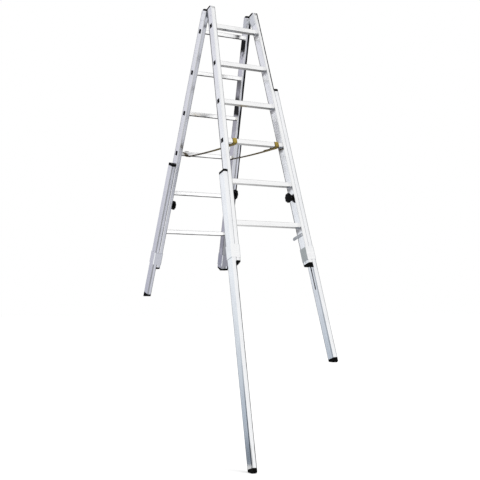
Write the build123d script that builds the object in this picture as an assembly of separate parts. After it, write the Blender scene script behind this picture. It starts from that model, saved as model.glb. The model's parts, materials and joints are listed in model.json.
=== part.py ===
"""Stairwell ladder: two hinged six-rung sections, each stile with its own clamped extension leg.

Millimetres. +Z is up, X runs along the rungs and the front section is towards -Y.
The ladder stands open, with its legs drawn out by the amounts that the SPARE values leave.
Pieces of one corner are made in a leg frame: X outward across the stile, -Y away from the hinge,
Z up along the stile, with the hinge axis through the origin. All are made for the front right corner.
"""
import os
from math import atan, cos, degrees, radians, sin, tan

from build123d import *

# Stance
OPENING_ANGLE = 35.1
FOLDED_GAP = 28.0
TOP_RUNG_DROP = 96.0

# Rungs
RUNG_COUNT = 6
RUNG_PITCH = 250.0
RUNG_SIZE = 27.0
RUNG_WALL = 2.0
RUNG_CORNER = 3.0
RUNG_INNER_CORNER = 1.0
RUNG_HOLE_CLEARANCE = 0.05
RUNG_END_INSET = 0.4
RUNG_PLUG_DEPTH = 9.0
RUNG_PLUG_FLANGE = 1.0
TOP_SPAN = 305.0
BOTTOM_SPAN = 439.5

# Tube of the stiles and of the extension legs
TUBE_WIDTH = 25.0
TUBE_DEPTH = 60.0
TUBE_WALL = 2.0
TUBE_CORNER = 4.0
TUBE_INNER_CORNER = 1.0
PLUG_CLEARANCE = 0.1

# Stiles, measured square to the rungs from the top and bottom rungs
STILE_HEAD = 135.0
STILE_TAIL = 228.0
HEAD_ROUND = 30.0
HEAD_LIP = 14.0
HEAD_PLUG_HEIGHT = 12.0
HEAD_PLUG_SPIGOT = 6.0
STILE_FOOT_DROP = 20.0
FOOT_SPIGOT = 20.0
FOOT_BEVEL_START = 5.0
FOOT_BEVEL_ANGLE = 42.0
SOLE_EDGE = 1.5
GROOVE_WIDTH = 4.0
GROOVE_DEPTH = 2.0
GROOVE_SPACING = 18.0

# Hinge
HINGE_PLATE = 4.0
HINGE_LUG_CLEARANCE = 1.0
HINGE_SIDE_GAP = 0.8
HINGE_PAD_WIDTH = 46.0
HINGE_PAD_HEIGHT = 64.0
HINGE_PAD_RISE = 22.0
HINGE_PAD_MARGIN = 8.0
HINGE_PAD_CORNER = 8.0
HINGE_CRANK = 6.0
PIN_RADIUS = 4.0
PIN_RUNNING_CLEARANCE = 0.05
PIN_FIXED_CLEARANCE = 0.02
PIN_HEAD_RADIUS = 6.5
PIN_HEAD_HEIGHT = 3.0
PIN_HEAD_STANDOFF = 0.5

# Rivets
RIVET_RADIUS = 2.5
RIVET_HEAD_RADIUS = 5.0
RIVET_HEAD_HEIGHT = 2.2
RIVET_CLEARANCE = 0.05
RIVET_TAIL = 6.0

# Extension legs
FRONT_LEG_LENGTH = 1660.0
REAR_LEG_LENGTH = 863.0
FRONT_LEFT_SPARE = 37.5
FRONT_RIGHT_SPARE = 588.2
REAR_LEFT_SPARE = 160.8
SLIDE_GAP = 0.6
LEG_CAP_HEIGHT = 16.0
LEG_CAP_EDGE = 2.0
LEG_FOOT_DROP = 22.0
FRONT_TOE_RADIUS = 16.0
REAR_TOE_RADIUS = 5.0
SLOT_WIDTH = 11.0
SLOT_TOP_MARGIN = 100.0

# Collars round stile and leg
COLLAR_LIFT = 17.0
COLLAR_HEIGHT = 75.0
COLLAR_WALL = 2.5
COLLAR_CLEARANCE = 0.4
COLLAR_RIVET_SPREAD = 44.0
COLLAR_RIVET_LIFT = 9.0
FOOT_RIVET_LIFT = 11.0

# Clamps
CLAMP_RISE = 172.0
REAR_RIGHT_CLAMP_RISE = 300.0
BOLT_RADIUS = 5.0
BOLT_HOLE_CLEARANCE = 0.3
BOLT_THREAD_CLEARANCE = 0.05
BOLT_GRIP = 20.0
BOLT_TIP = 3.0
NUT_THICKNESS = 7.0
NUT_LENGTH = 36.0
NUT_CLEARANCE = 0.4
KNOB_SEAT_GAP = 0.3
KNOB_FLANGE_RADIUS = 17.0
KNOB_FLANGE_HEIGHT = 3.0
KNOB_NECK_RADIUS = 11.0
KNOB_NECK_FLARE = 3.0
KNOB_NECK_LENGTH = 14.0
KNOB_RADIUS = 28.0
KNOB_RIM_HEIGHT = 11.0
KNOB_DOME_HEIGHT = 4.0
KNOB_EDGE = 2.0
KNOB_LOBES = 8
KNOB_SCALLOP_RADIUS = 8.0
KNOB_SCALLOP_DEPTH = 3.5

# Straps between the sections
STRAP_RUNG_NUMBER = 4
LEFT_STRAP_INSET = 50.0
RIGHT_STRAP_INSET = 32.0
STRAP_WIDTH = 28.0
STRAP_THICKNESS = 2.2
STRAP_CLEARANCE = 0.3
STRAP_LOOP = 46.0
STRAP_OVERLAP = 70.0

# Folding guide on the front right stile
GUIDE_DROP = 59.0
GUIDE_HEIGHT = 18.0
GUIDE_THICKNESS = 3.0
GUIDE_OVERHANG = 40.0
GUIDE_LAP = 57.0
GUIDE_CRANK = 1.5
GUIDE_CRANK_LENGTH = 8.0
GUIDE_RIVET_SPREAD = 35.0

LEAN = OPENING_ANGLE / 2
LADDER_DROP = RUNG_PITCH * (RUNG_COUNT - 1)
FLARE = degrees(atan((BOTTOM_SPAN - TOP_SPAN) / 2 / LADDER_DROP))
HALF_SPAN_AT_HINGE = TOP_SPAN / 2 - TOP_RUNG_DROP * tan(radians(FLARE))
STILE_EDGE = -FOLDED_GAP / 2
STILE_MID = STILE_EDGE - TUBE_DEPTH / 2
INNER_FACE = -TUBE_WIDTH / 2
LEG_MID = TUBE_WIDTH + SLIDE_GAP
LUG_RADIUS = FOLDED_GAP / 2 - HINGE_LUG_CLEARANCE
BORE_WIDTH = TUBE_WIDTH - 2 * TUBE_WALL
BORE_DEPTH = TUBE_DEPTH - 2 * TUBE_WALL
RUNG_BORE = RUNG_SIZE - 2 * RUNG_WALL
RUNG_PLUG_FACE = TUBE_WIDTH / 2 - RUNG_END_INSET
RUNG_END = RUNG_PLUG_FACE - RUNG_PLUG_FLANGE


def along(drop):
    """Length along a flared stile for a length square to the rungs."""
    return drop / cos(radians(FLARE))


STILE_TOP = along(STILE_HEAD - TOP_RUNG_DROP)
STILE_BOTTOM = -along(TOP_RUNG_DROP + LADDER_DROP + STILE_TAIL)
GUIDE_LEVEL = -along(TOP_RUNG_DROP + LADDER_DROP + GUIDE_DROP)
STILE_SOLE = STILE_BOTTOM - STILE_FOOT_DROP
COLLAR_BOTTOM = STILE_BOTTOM + COLLAR_LIFT
LEG_SOLE_RETRACTED = STILE_SOLE - LEG_MID * tan(radians(FLARE))


CLAMP_RISES = {
    "front_left": CLAMP_RISE,
    "front_right": CLAMP_RISE,
    "rear_left": CLAMP_RISE,
    "rear_right": REAR_RIGHT_CLAMP_RISE,
}


def clamp_height(corner):
    """Leg-frame height of a corner's clamp."""
    return -along(TOP_RUNG_DROP + LADDER_DROP - CLAMP_RISES[corner])


def leg_travel(length, clamp):
    """How far the bolt of a clamp can run in a leg's slot."""
    return length - SLOT_TOP_MARGIN - (clamp - LEG_SOLE_RETRACTED)


FRONT_TRAVEL = leg_travel(FRONT_LEG_LENGTH, clamp_height("front_left"))
REAR_TRAVEL = leg_travel(REAR_LEG_LENGTH, clamp_height("rear_left"))
LEGS = {
    "front_left": (FRONT_LEG_LENGTH, FRONT_TRAVEL - FRONT_LEFT_SPARE),
    "front_right": (FRONT_LEG_LENGTH, FRONT_TRAVEL - FRONT_RIGHT_SPARE),
    "rear_left": (REAR_LEG_LENGTH, REAR_TRAVEL - REAR_LEFT_SPARE),
    "rear_right": (REAR_LEG_LENGTH, 0.0),
}
TOE_RADIUS = {"front": FRONT_TOE_RADIUS, "rear": REAR_TOE_RADIUS}


def flared(shape):
    """Set a leg-frame shape on the sloping line of the right stile."""
    return Pos(HALF_SPAN_AT_HINGE, 0, 0) * Rot(0, -FLARE, 0) * shape


def stood(shape, section, side="right"):
    """Lean a right-hand front shape out to its section, on its own side."""
    if side == "left":
        shape = shape.mirror(Plane.YZ)
    if section == "rear":
        return Rot(LEAN, 0, 0) * shape.mirror(Plane.XZ)
    return Rot(-LEAN, 0, 0) * shape


def upright(radius, height):
    """A cylinder that stands on the XY plane."""
    return Cylinder(radius, height, align=(Align.CENTER, Align.CENTER, Align.MIN))


def dome(radius, height):
    """A low spherical cap that hangs below the XY plane."""
    ball = (radius**2 + height**2) / (2 * height)
    slab = Pos(0, 0, -height) * upright(2 * radius, height)
    return Pos(0, 0, ball - height) * Sphere(ball) & slab


def prism(width, depth, corner, bottom, top):
    """A bar with rounded corners along Z."""
    return Pos(0, 0, bottom) * extrude(RectangleRounded(width, depth, corner), top - bottom)


def spigot(bottom, top):
    """A plug that fits the tube's bore."""
    slack = 2 * PLUG_CLEARANCE
    return prism(BORE_WIDTH - slack, BORE_DEPTH - slack, TUBE_INNER_CORNER, bottom, top)


def crosswise(x, y, z):
    """A frame at a point of the leg frame whose Z runs outward across the stile."""
    return Plane(origin=(x, y, z), x_dir=(0, 1, 0), z_dir=(1, 0, 0))


def axis_height(x):
    """Leg-frame height of the hinge axis at a distance across the stile."""
    return -x * tan(radians(FLARE))


def hinge_rivets():
    """Leg-frame (y, z) of the rivets that hold a hinge plate."""
    near = STILE_EDGE - HINGE_PAD_MARGIN - RIVET_HEAD_RADIUS
    far = STILE_EDGE - HINGE_PAD_WIDTH + RIVET_HEAD_RADIUS
    high = HINGE_PAD_RISE - 2 * RIVET_HEAD_RADIUS
    low = HINGE_PAD_RISE - HINGE_PAD_HEIGHT + 2 * RIVET_HEAD_RADIUS
    return [(y, z) for y in (near, far) for z in (low, high)]


def collar_rivets():
    """Leg-frame (y, z) of the rivets that hold a collar."""
    level = COLLAR_BOTTOM + COLLAR_RIVET_LIFT
    return [(STILE_MID + way * COLLAR_RIVET_SPREAD / 2, level) for way in (-1, 1)]


def foot_rivets():
    """Leg-frame (y, z) of the rivet that holds a stile foot."""
    return [(STILE_MID, STILE_BOTTOM + FOOT_RIVET_LIFT)]


def guide_rivets():
    """Leg-frame (y, z) of the rivets that hold the folding guide."""
    return [(STILE_MID + way * GUIDE_RIVET_SPREAD / 2, GUIDE_LEVEL) for way in (-1, 1)]


def rivet(point, cover, swell=0.0):
    """A blind rivet through a cover on the stile's inner face; swell makes its hole."""
    shank = upright(RIVET_RADIUS + swell, cover + TUBE_WALL + RIVET_TAIL)
    seat = crosswise(INNER_FACE - cover, *point)
    return seat * (shank + dome(RIVET_HEAD_RADIUS, RIVET_HEAD_HEIGHT))


def through_rivet(point, cover, swell=0.0):
    """A rivet right through the stile, countersunk flush in its outer face."""
    length = cover + TUBE_WIDTH
    shank = upright(RIVET_RADIUS + swell, length)
    sink = Cone(
        RIVET_RADIUS + swell,
        RIVET_HEAD_RADIUS + swell,
        TUBE_WALL,
        align=(Align.CENTER, Align.CENTER, Align.MIN),
    )
    seat = crosswise(INNER_FACE - cover, *point)
    flush = shank + Pos(0, 0, length - TUBE_WALL) * sink
    return seat * (flush + dome(RIVET_HEAD_RADIUS, RIVET_HEAD_HEIGHT))


def blind_rivets(has_guide):
    """Every blind rivet of a corner, as (point, cover) pairs."""
    places = [(point, COLLAR_WALL) for point in collar_rivets()]
    places += [(point, 0.0) for point in foot_rivets()]
    if has_guide:
        places += [(point, GUIDE_THICKNESS) for point in guide_rivets()]
    return places


def rung_height(number):
    """Height of a rung's centre in its section, counted from 1 at the top."""
    return -TOP_RUNG_DROP - (number - 1) * RUNG_PITCH


def rung_bar(number, size, corner, length):
    """A square bar along X at a rung's place."""
    bar = Rot(0, 90, 0) * prism(size, size, corner, -length / 2, length / 2)
    return Pos(0, STILE_MID, rung_height(number)) * bar


def rung_end_slab(start, end):
    """What lies between two distances across the right stile, all the way down the ladder."""
    height = 4 * (TOP_RUNG_DROP + LADDER_DROP)
    return flared(Pos((start + end) / 2, STILE_MID, 0) * Box(end - start, 2 * RUNG_SIZE, height))


def rung(number):
    """One rung: square tube, cut along the sloping outer faces of the stiles, under its plugs' flanges."""
    reach = 2 * BOTTOM_SPAN
    bar = rung_bar(number, RUNG_SIZE, RUNG_CORNER, reach)
    bar -= rung_bar(number, RUNG_BORE, RUNG_INNER_CORNER, reach)
    right_cut = rung_end_slab(RUNG_END, RUNG_END + reach)
    return bar - right_cut - right_cut.mirror(Plane.YZ)


def rung_plug(number):
    """The plug in a rung's right end, with a flange that covers the end of the tube."""
    reach = 2 * BOTTOM_SPAN
    stem = rung_bar(number, RUNG_BORE - 2 * PLUG_CLEARANCE, RUNG_INNER_CORNER, reach)
    flange = rung_bar(number, RUNG_SIZE, RUNG_CORNER, reach)
    stem &= rung_end_slab(RUNG_END - RUNG_PLUG_DEPTH, RUNG_END)
    return stem + (flange & rung_end_slab(RUNG_END, RUNG_PLUG_FACE))


def head_corner(radius):
    """What lies outside a rounding of a stile's top corner, on the side away from the hinge."""
    size = 2 * HEAD_ROUND
    width = 2 * TUBE_WIDTH
    middle = STILE_EDGE - TUBE_DEPTH + HEAD_ROUND
    level = STILE_TOP - HEAD_ROUND
    block = Pos(0, middle - size / 2, level + size / 2) * Box(width, size, size)
    return block - crosswise(-width, middle, level) * upright(radius, 2 * width)


def head_room(height):
    """What lies behind a stile's rounded lip, from the top down."""
    depth = TUBE_DEPTH - HEAD_LIP
    return Pos(0, STILE_EDGE - depth / 2, STILE_TOP - height / 2) * Box(TUBE_WIDTH, depth, height)


def stile_body():
    """The tube of a stile, with a rounded lip over its top corner and a step for the plug behind it."""
    outside = Pos(0, STILE_MID, 0) * prism(TUBE_WIDTH, TUBE_DEPTH, TUBE_CORNER, STILE_BOTTOM, STILE_TOP)
    bore = Pos(0, STILE_MID, 0) * prism(BORE_WIDTH, BORE_DEPTH, TUBE_INNER_CORNER, STILE_BOTTOM, STILE_TOP)
    body = outside - head_corner(HEAD_ROUND)
    body -= bore - head_corner(HEAD_ROUND - TUBE_WALL)
    return body - head_room(HEAD_PLUG_HEIGHT)


def head_plug():
    """The plug in a stile's top, behind the rounded lip and flush with it."""
    shoulder = STILE_TOP - HEAD_PLUG_HEIGHT
    cover = prism(TUBE_WIDTH, TUBE_DEPTH, TUBE_CORNER, shoulder, STILE_TOP)
    stem = spigot(shoulder - HEAD_PLUG_SPIGOT, shoulder)
    plug = Pos(0, STILE_MID, 0) * (cover + stem) & head_room(HEAD_PLUG_HEIGHT + HEAD_PLUG_SPIGOT)
    return plug - head_corner(HEAD_ROUND)


def bolt_line(clamp, radius, start, end):
    """A cylinder on a clamp's axis between two distances across the stile."""
    return crosswise(start, STILE_MID, clamp) * upright(radius, end - start)


def stile(has_guide, clamp):
    """A stile with its rung, rivet and bolt holes."""
    body = stile_body()
    for point in hinge_rivets():
        body -= through_rivet(point, HINGE_PLATE, RIVET_CLEARANCE)
    for point, cover in blind_rivets(has_guide):
        body -= rivet(point, cover, RIVET_CLEARANCE)
    body -= bolt_line(clamp, BOLT_RADIUS + BOLT_HOLE_CLEARANCE, -TUBE_WIDTH, TUBE_WIDTH)
    body = flared(body)
    hole = RUNG_SIZE + 2 * RUNG_HOLE_CLEARANCE
    for number in range(1, RUNG_COUNT + 1):
        body -= rung_bar(number, hole, RUNG_CORNER, 2 * BOTTOM_SPAN)
    return body


def sole_plane(x, level):
    """The level ground under a foot, as the leg frame sees it."""
    lean = radians(LEAN)
    flare = radians(FLARE)
    up = (cos(lean) * sin(flare), -sin(lean), cos(lean) * cos(flare))
    return Plane(origin=(x, STILE_MID, level), x_dir=(1, 0, 0), z_dir=up)


def foot_block(x, tube_end, level):
    """A foot that carries a tube's outline down to a level sole with two grip grooves."""
    size = 4 * TUBE_DEPTH
    ground = sole_plane(x, level)
    block = Pos(x, STILE_MID, 0) * prism(TUBE_WIDTH, TUBE_DEPTH, TUBE_CORNER, tube_end - size, tube_end)
    block -= ground * Pos(0, 0, -size) * Box(2 * size, 2 * size, 2 * size)
    sole = block.faces().sort_by(Axis((0, 0, 0), ground.z_dir))[0]
    block = chamfer(sole.edges(), SOLE_EDGE)
    for way in (-1, 1):
        groove = Box(size, GROOVE_WIDTH, 2 * GROOVE_DEPTH)
        block -= ground * Pos(0, way * GROOVE_SPACING / 2, 0) * groove
    return block


def stile_foot():
    """A stile's wedge foot, bevelled on the inner side."""
    size = 4 * TUBE_DEPTH
    foot = foot_block(0, STILE_BOTTOM, STILE_SOLE)
    bevel = Pos(INNER_FACE, STILE_MID, STILE_BOTTOM - FOOT_BEVEL_START) * Rot(0, -FOOT_BEVEL_ANGLE, 0)
    foot -= bevel * Pos(-size / 2, 0, 0) * Box(size, size, size)
    foot += Pos(0, STILE_MID, 0) * spigot(STILE_BOTTOM, STILE_BOTTOM + FOOT_SPIGOT)
    for point, cover in blind_rivets(False):
        foot -= rivet(point, cover, RIVET_CLEARANCE)
    return foot


def collar():
    """A collar round a stile and its leg, seated on the stile's inner face."""
    inner_x = INNER_FACE
    outer_x = LEG_MID + TUBE_WIDTH / 2 + COLLAR_CLEARANCE
    width = outer_x - inner_x
    depth = TUBE_DEPTH + 2 * COLLAR_CLEARANCE
    middle = Pos((inner_x + outer_x) / 2, STILE_MID, 0)
    top = COLLAR_BOTTOM + COLLAR_HEIGHT
    walls = 2 * COLLAR_WALL
    ring = prism(width + walls, depth + walls, TUBE_CORNER + COLLAR_WALL, COLLAR_BOTTOM, top)
    ring -= prism(width, depth, TUBE_INNER_CORNER, COLLAR_BOTTOM, top)
    ring = middle * ring
    for point in collar_rivets():
        ring -= rivet(point, COLLAR_WALL, RIVET_CLEARANCE)
    return ring


def hinge_outline():
    """The outline of a hinge plate as a bar across the stile: lug, neck and riveted pad."""
    bar = 4 * TUBE_WIDTH
    centre = axis_height(INNER_FACE - HINGE_PLATE / 2)
    neck_end = STILE_EDGE - HINGE_PAD_MARGIN - HINGE_PAD_CORNER
    lug = Pos(0, centre) * Circle(LUG_RADIUS)
    neck = Pos(neck_end / 2, centre) * Rectangle(-neck_end, 2 * LUG_RADIUS)
    pad_middle = STILE_EDGE - HINGE_PAD_MARGIN - (HINGE_PAD_WIDTH - HINGE_PAD_MARGIN) / 2
    pad_size = (HINGE_PAD_WIDTH - HINGE_PAD_MARGIN + HINGE_PAD_CORNER, HINGE_PAD_HEIGHT)
    pad_level = HINGE_PAD_RISE - HINGE_PAD_HEIGHT / 2
    pad = Pos(pad_middle, pad_level) * RectangleRounded(*pad_size, HINGE_PAD_CORNER)
    return crosswise(-bar / 2, 0, 0) * extrude(lug + neck + pad, bar)


def hinge_axis(radius, start, end):
    """A cylinder on the hinge axis between two distances from the ladder's middle."""
    return Pos(start, 0, 0) * Rot(0, 90, 0) * upright(radius, end - start)


def hinge_plate(crank, clearance):
    """A hinge plate whose lug is cranked inward from the face of its stile."""
    run = 4 * TUBE_DEPTH
    front = STILE_EDGE - HINGE_LUG_CLEARANCE
    face = INNER_FACE
    back = INNER_FACE - HINGE_PLATE
    bend = front - HINGE_CRANK
    points = [
        (face, -run),
        (face, bend),
        (face - crank, front),
        (face - crank, run),
        (back - crank, run),
        (back - crank, front),
        (back, bend),
        (back, -run),
    ]
    sheet = Pos(0, 0, -run / 2) * extrude(Polygon(*points, align=None), run)
    plate = sheet & hinge_outline()
    for point in hinge_rivets():
        plate -= through_rivet(point, HINGE_PLATE, RIVET_CLEARANCE)
    plate = flared(plate)
    return plate - hinge_axis(PIN_RADIUS + clearance, 0, BOTTOM_SPAN)


def hinge_pin():
    """The riveted pin through the two lugs of one side."""
    face = HALF_SPAN_AT_HINGE - along(TUBE_WIDTH / 2)
    outer = face + PIN_HEAD_STANDOFF
    inner = face - along(2 * HINGE_PLATE + HINGE_SIDE_GAP) - PIN_HEAD_STANDOFF
    shank = hinge_axis(PIN_RADIUS, inner, outer)
    outer_head = hinge_axis(PIN_HEAD_RADIUS, outer, outer + PIN_HEAD_HEIGHT)
    inner_head = hinge_axis(PIN_HEAD_RADIUS, inner - PIN_HEAD_HEIGHT, inner)
    return shank + outer_head + inner_head


def leg_tube(length, drawn, clamp):
    """An extension leg with the clamp slot in its inner wall."""
    sole = LEG_SOLE_RETRACTED - drawn
    bottom = sole + LEG_FOOT_DROP
    top = sole + length - LEG_CAP_HEIGHT
    tube = prism(TUBE_WIDTH, TUBE_DEPTH, TUBE_CORNER, bottom, top)
    tube -= prism(BORE_WIDTH, BORE_DEPTH, TUBE_INNER_CORNER, bottom, top)
    tube = Pos(LEG_MID, STILE_MID, 0) * tube
    travel = leg_travel(length, clamp)
    middle = clamp - drawn + travel / 2
    window = extrude(SlotCenterToCenter(travel, SLOT_WIDTH, rotation=90), TUBE_WIDTH / 2)
    return tube - crosswise(LEG_MID - TUBE_WIDTH / 2 - TUBE_WIDTH / 4, STILE_MID, middle) * window


def leg_cap(length, drawn):
    """The cap on a leg's top."""
    top = LEG_SOLE_RETRACTED - drawn + length
    shoulder = top - LEG_CAP_HEIGHT
    cover = prism(TUBE_WIDTH, TUBE_DEPTH, TUBE_CORNER, shoulder, top)
    cover = fillet(cover.faces().sort_by(Axis.Z)[-1].edges(), LEG_CAP_EDGE)
    return Pos(LEG_MID, STILE_MID, 0) * (cover + spigot(shoulder - FOOT_SPIGOT, shoulder))


def toe_waste(x, level, radius):
    """What is cut from the front edge of a foot's level sole to round it."""
    lean = radians(LEAN)
    width = 4 * TUBE_WIDTH
    tip = -TUBE_DEPTH / 2 / cos(lean)
    reach = radius / tan((radians(90) - lean) / 2)
    middle = Vector(tip + reach, radius)
    high = Vector(tip + reach * sin(lean), reach * cos(lean))
    low = Vector(tip + reach, 0)
    crest = middle + (Vector(tip, 0) - middle).normalized() * radius
    round_edge = ThreePointArc(high, crest, low)
    outside = Polyline(low, (low.X, -reach), (tip - reach, -reach), (tip - reach, high.Y), high)
    waste = extrude(Plane.YZ * make_face(round_edge.edges() + outside.edges()), width)
    return sole_plane(x, level) * Pos(-width / 2, 0, 0) * waste


def leg_foot(drawn, toe_radius):
    """The wedge foot in a leg's bottom, with a rounded toe."""
    sole = LEG_SOLE_RETRACTED - drawn
    tube_end = sole + LEG_FOOT_DROP
    stem = Pos(LEG_MID, STILE_MID, 0) * spigot(tube_end, tube_end + FOOT_SPIGOT)
    return foot_block(LEG_MID, tube_end, sole) - toe_waste(LEG_MID, sole, toe_radius) + stem


def clamp_nut(clamp):
    """The nut plate inside a leg, too wide to turn there."""
    width = BORE_DEPTH - 2 * NUT_CLEARANCE
    seat = LEG_MID - BORE_WIDTH / 2 + NUT_CLEARANCE
    plate = Box(NUT_THICKNESS, width, NUT_LENGTH)
    plate = Pos(seat + NUT_THICKNESS / 2, STILE_MID, clamp) * plate
    return plate - bolt_line(clamp, BOLT_RADIUS + BOLT_THREAD_CLEARANCE, 0, 2 * LEG_MID)


def clamp_bolt(clamp):
    """The bolt moulded into a knob, through the stile into the nut plate."""
    nut_end = LEG_MID - BORE_WIDTH / 2 + NUT_CLEARANCE + NUT_THICKNESS
    bolt = bolt_line(clamp, BOLT_RADIUS, INNER_FACE - KNOB_SEAT_GAP - BOLT_GRIP, nut_end + BOLT_TIP)
    tip = bolt.faces().sort_by(Axis.X)[-1]
    return chamfer(tip.edges(), BOLT_RADIUS / 5)


def clamp_knob(clamp):
    """A domed knob with a scalloped rim, a neck and a flange on the stile."""
    flange = upright(KNOB_FLANGE_RADIUS, KNOB_FLANGE_HEIGHT)
    flange = fillet(flange.faces().sort_by(Axis.Z)[-1].edges(), KNOB_EDGE)
    neck = Cone(
        KNOB_NECK_RADIUS + KNOB_NECK_FLARE,
        KNOB_NECK_RADIUS,
        KNOB_NECK_LENGTH,
        align=(Align.CENTER, Align.CENTER, Align.MIN),
    )
    rim_start = KNOB_FLANGE_HEIGHT + KNOB_NECK_LENGTH
    rim = upright(KNOB_RADIUS, KNOB_RIM_HEIGHT)
    rim = fillet(rim.faces().sort_by(Axis.Z)[0].edges(), KNOB_EDGE)
    head = rim + Pos(0, 0, KNOB_RIM_HEIGHT) * Rot(180, 0, 0) * dome(KNOB_RADIUS, KNOB_DOME_HEIGHT)
    reach = KNOB_RADIUS + KNOB_SCALLOP_RADIUS - KNOB_SCALLOP_DEPTH
    for place in PolarLocations(reach, KNOB_LOBES):
        head -= place * Pos(0, 0, -1) * upright(KNOB_SCALLOP_RADIUS, 2 * KNOB_RIM_HEIGHT)
    knob = flange + Pos(0, 0, KNOB_FLANGE_HEIGHT) * neck + Pos(0, 0, rim_start) * head
    knob -= upright(BOLT_RADIUS + PIN_FIXED_CLEARANCE, BOLT_GRIP)
    seat = Plane(origin=(INNER_FACE - KNOB_SEAT_GAP, STILE_MID, clamp), x_dir=(0, 1, 0), z_dir=(-1, 0, 0))
    return seat * knob


def folding_guide():
    """The cranked flat bar that laps the rear stile's inner face when the ladder is folded."""
    face = INNER_FACE
    back = INNER_FACE - GUIDE_THICKNESS
    tip = STILE_EDGE + GUIDE_OVERHANG
    heel = STILE_EDGE - GUIDE_LAP
    bend = STILE_EDGE - GUIDE_CRANK_LENGTH
    points = [
        (face, heel),
        (face, bend),
        (face - GUIDE_CRANK, STILE_EDGE),
        (face - GUIDE_CRANK, tip),
        (back - GUIDE_CRANK, tip),
        (back - GUIDE_CRANK, STILE_EDGE),
        (back, bend),
        (back, heel),
    ]
    bar = Pos(0, 0, GUIDE_LEVEL - GUIDE_HEIGHT / 2) * extrude(Polygon(*points, align=None), GUIDE_HEIGHT)
    length = tip - heel
    outline = SlotOverall(length, GUIDE_HEIGHT)
    bar &= crosswise(-2 * TUBE_WIDTH, (tip + heel) / 2, GUIDE_LEVEL) * extrude(outline, 2 * TUBE_WIDTH)
    for point in guide_rivets():
        bar -= rivet(point, GUIDE_THICKNESS, RIVET_CLEARANCE)
    return bar


def strap(inset):
    """A webbing strap on the right: looped round the front rung, and under the rear rung and up its back."""
    lean = radians(LEAN)
    level = rung_height(STRAP_RUNG_NUMBER)
    rung_y = STILE_MID * cos(lean) + level * sin(lean)
    rung_z = -STILE_MID * sin(lean) + level * cos(lean)
    half = RUNG_SIZE / 2 + STRAP_CLEARANCE
    corners = [Vector(x, y).rotate(Axis.Z, -LEAN) for x, y in ((1, 1), (-1, 1), (-1, -1), (1, -1))]
    underside = half * min(corner.Y for corner in corners)
    outline = [(STRAP_LOOP, underside)] + [(half * corner.X, half * corner.Y) for corner in corners]
    eye = make_face(Polyline(*outline, close=True))
    loop = offset(eye, STRAP_THICKNESS) - eye
    band_middle = ((STRAP_LOOP - rung_y) / 2, underside - STRAP_THICKNESS / 2)
    band = Pos(*band_middle) * Rectangle(-rung_y - STRAP_LOOP, STRAP_THICKNESS)
    lap_middle = (STRAP_LOOP + STRAP_OVERLAP / 2, underside)
    lap = Pos(*lap_middle) * Rectangle(STRAP_OVERLAP, 2 * STRAP_THICKNESS)
    size = 4 * STRAP_LOOP
    above = Pos(0, underside + size / 2) * Rectangle(2 * size, size)
    before = Rot(0, 0, -LEAN) * Pos(size / 2 - half, size / 2 - half) * Rectangle(size, size)
    hook = loop - (above & before)
    looped_half = Pos(rung_y, rung_z) * (loop + band + lap)
    hooked_half = Pos(rung_y, rung_z) * (hook + band)
    profile = looped_half + hooked_half.mirror(Plane.YZ)
    half_span = TOP_SPAN / 2 + (STRAP_RUNG_NUMBER - 1) * RUNG_PITCH * tan(radians(FLARE))
    start = half_span - along(TUBE_WIDTH / 2) - inset - STRAP_WIDTH / 2
    return Pos(start, 0, 0) * extrude(Plane.YZ * profile, STRAP_WIDTH)


def corner_pieces(section, side):
    """The pieces of one stile and its leg, by node name."""
    corner = f"{section}_{side}"
    has_guide = corner == "front_right"
    length, drawn = LEGS[corner]
    clamp = clamp_height(corner)
    plate = hinge_plate(0.0, PIN_FIXED_CLEARANCE)
    if section == "rear":
        plate = hinge_plate(HINGE_PLATE + HINGE_SIDE_GAP, PIN_RUNNING_CLEARANCE)
    pieces = {
        "stile": stile(has_guide, clamp),
        "stile_foot": flared(stile_foot()),
        "collar": flared(collar()),
        "hinge_plate": plate,
        "leg": flared(leg_tube(length, drawn, clamp)),
        "leg_cap": flared(leg_cap(length, drawn)),
        "leg_foot": flared(leg_foot(drawn, TOE_RADIUS[section])),
        "clamp_bolt": flared(clamp_bolt(clamp)),
        "clamp_knob": flared(clamp_knob(clamp)),
    }
    return {f"{corner}_{name}": stood(shape, section, side) for name, shape in pieces.items()}


def corner_rivets(section, side):
    """Every rivet of one stile."""
    has_guide = (section, side) == ("front", "right")
    rivets = [through_rivet(point, HINGE_PLATE) for point in hinge_rivets()]
    rivets += [rivet(point, cover) for point, cover in blind_rivets(has_guide)]
    return [stood(flared(one), section, side) for one in rivets]


def both_sides(shapes, section):
    """Right-hand front shapes and their left-hand copies, leaned out to a section as one group."""
    return Compound([stood(shape, section, side) for side in ("left", "right") for shape in shapes])


def section_pieces(section):
    """The pieces of one section, by node name."""
    pieces = {}
    rivets = []
    nuts = []
    for side in ("left", "right"):
        pieces.update(corner_pieces(section, side))
        rivets += corner_rivets(section, side)
        nuts.append(stood(flared(clamp_nut(clamp_height(f"{section}_{side}"))), section, side))
    for number in range(1, RUNG_COUNT + 1):
        pieces[f"{section}_rung_{number}"] = stood(rung(number), section)
    pieces[f"{section}_rivets"] = Compound(rivets)
    plugs = [rung_plug(number) for number in range(1, RUNG_COUNT + 1)]
    pieces[f"{section}_rung_plugs"] = both_sides(plugs, section)
    pieces[f"{section}_head_plugs"] = both_sides([flared(head_plug())], section)
    pieces[f"{section}_clamp_nuts"] = Compound(nuts)
    return pieces


def ladder():
    """Every piece of the ladder, by node name, with the hinge axis through the origin."""
    pieces = section_pieces("front") | section_pieces("rear")
    pieces["folding_guide"] = stood(flared(folding_guide()), "front")
    pieces["hinge_pins"] = both_sides([hinge_pin()], "front")
    pieces["right_strap"] = strap(RIGHT_STRAP_INSET)
    pieces["left_strap"] = strap(LEFT_STRAP_INSET).mirror(Plane.YZ)
    return pieces


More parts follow.
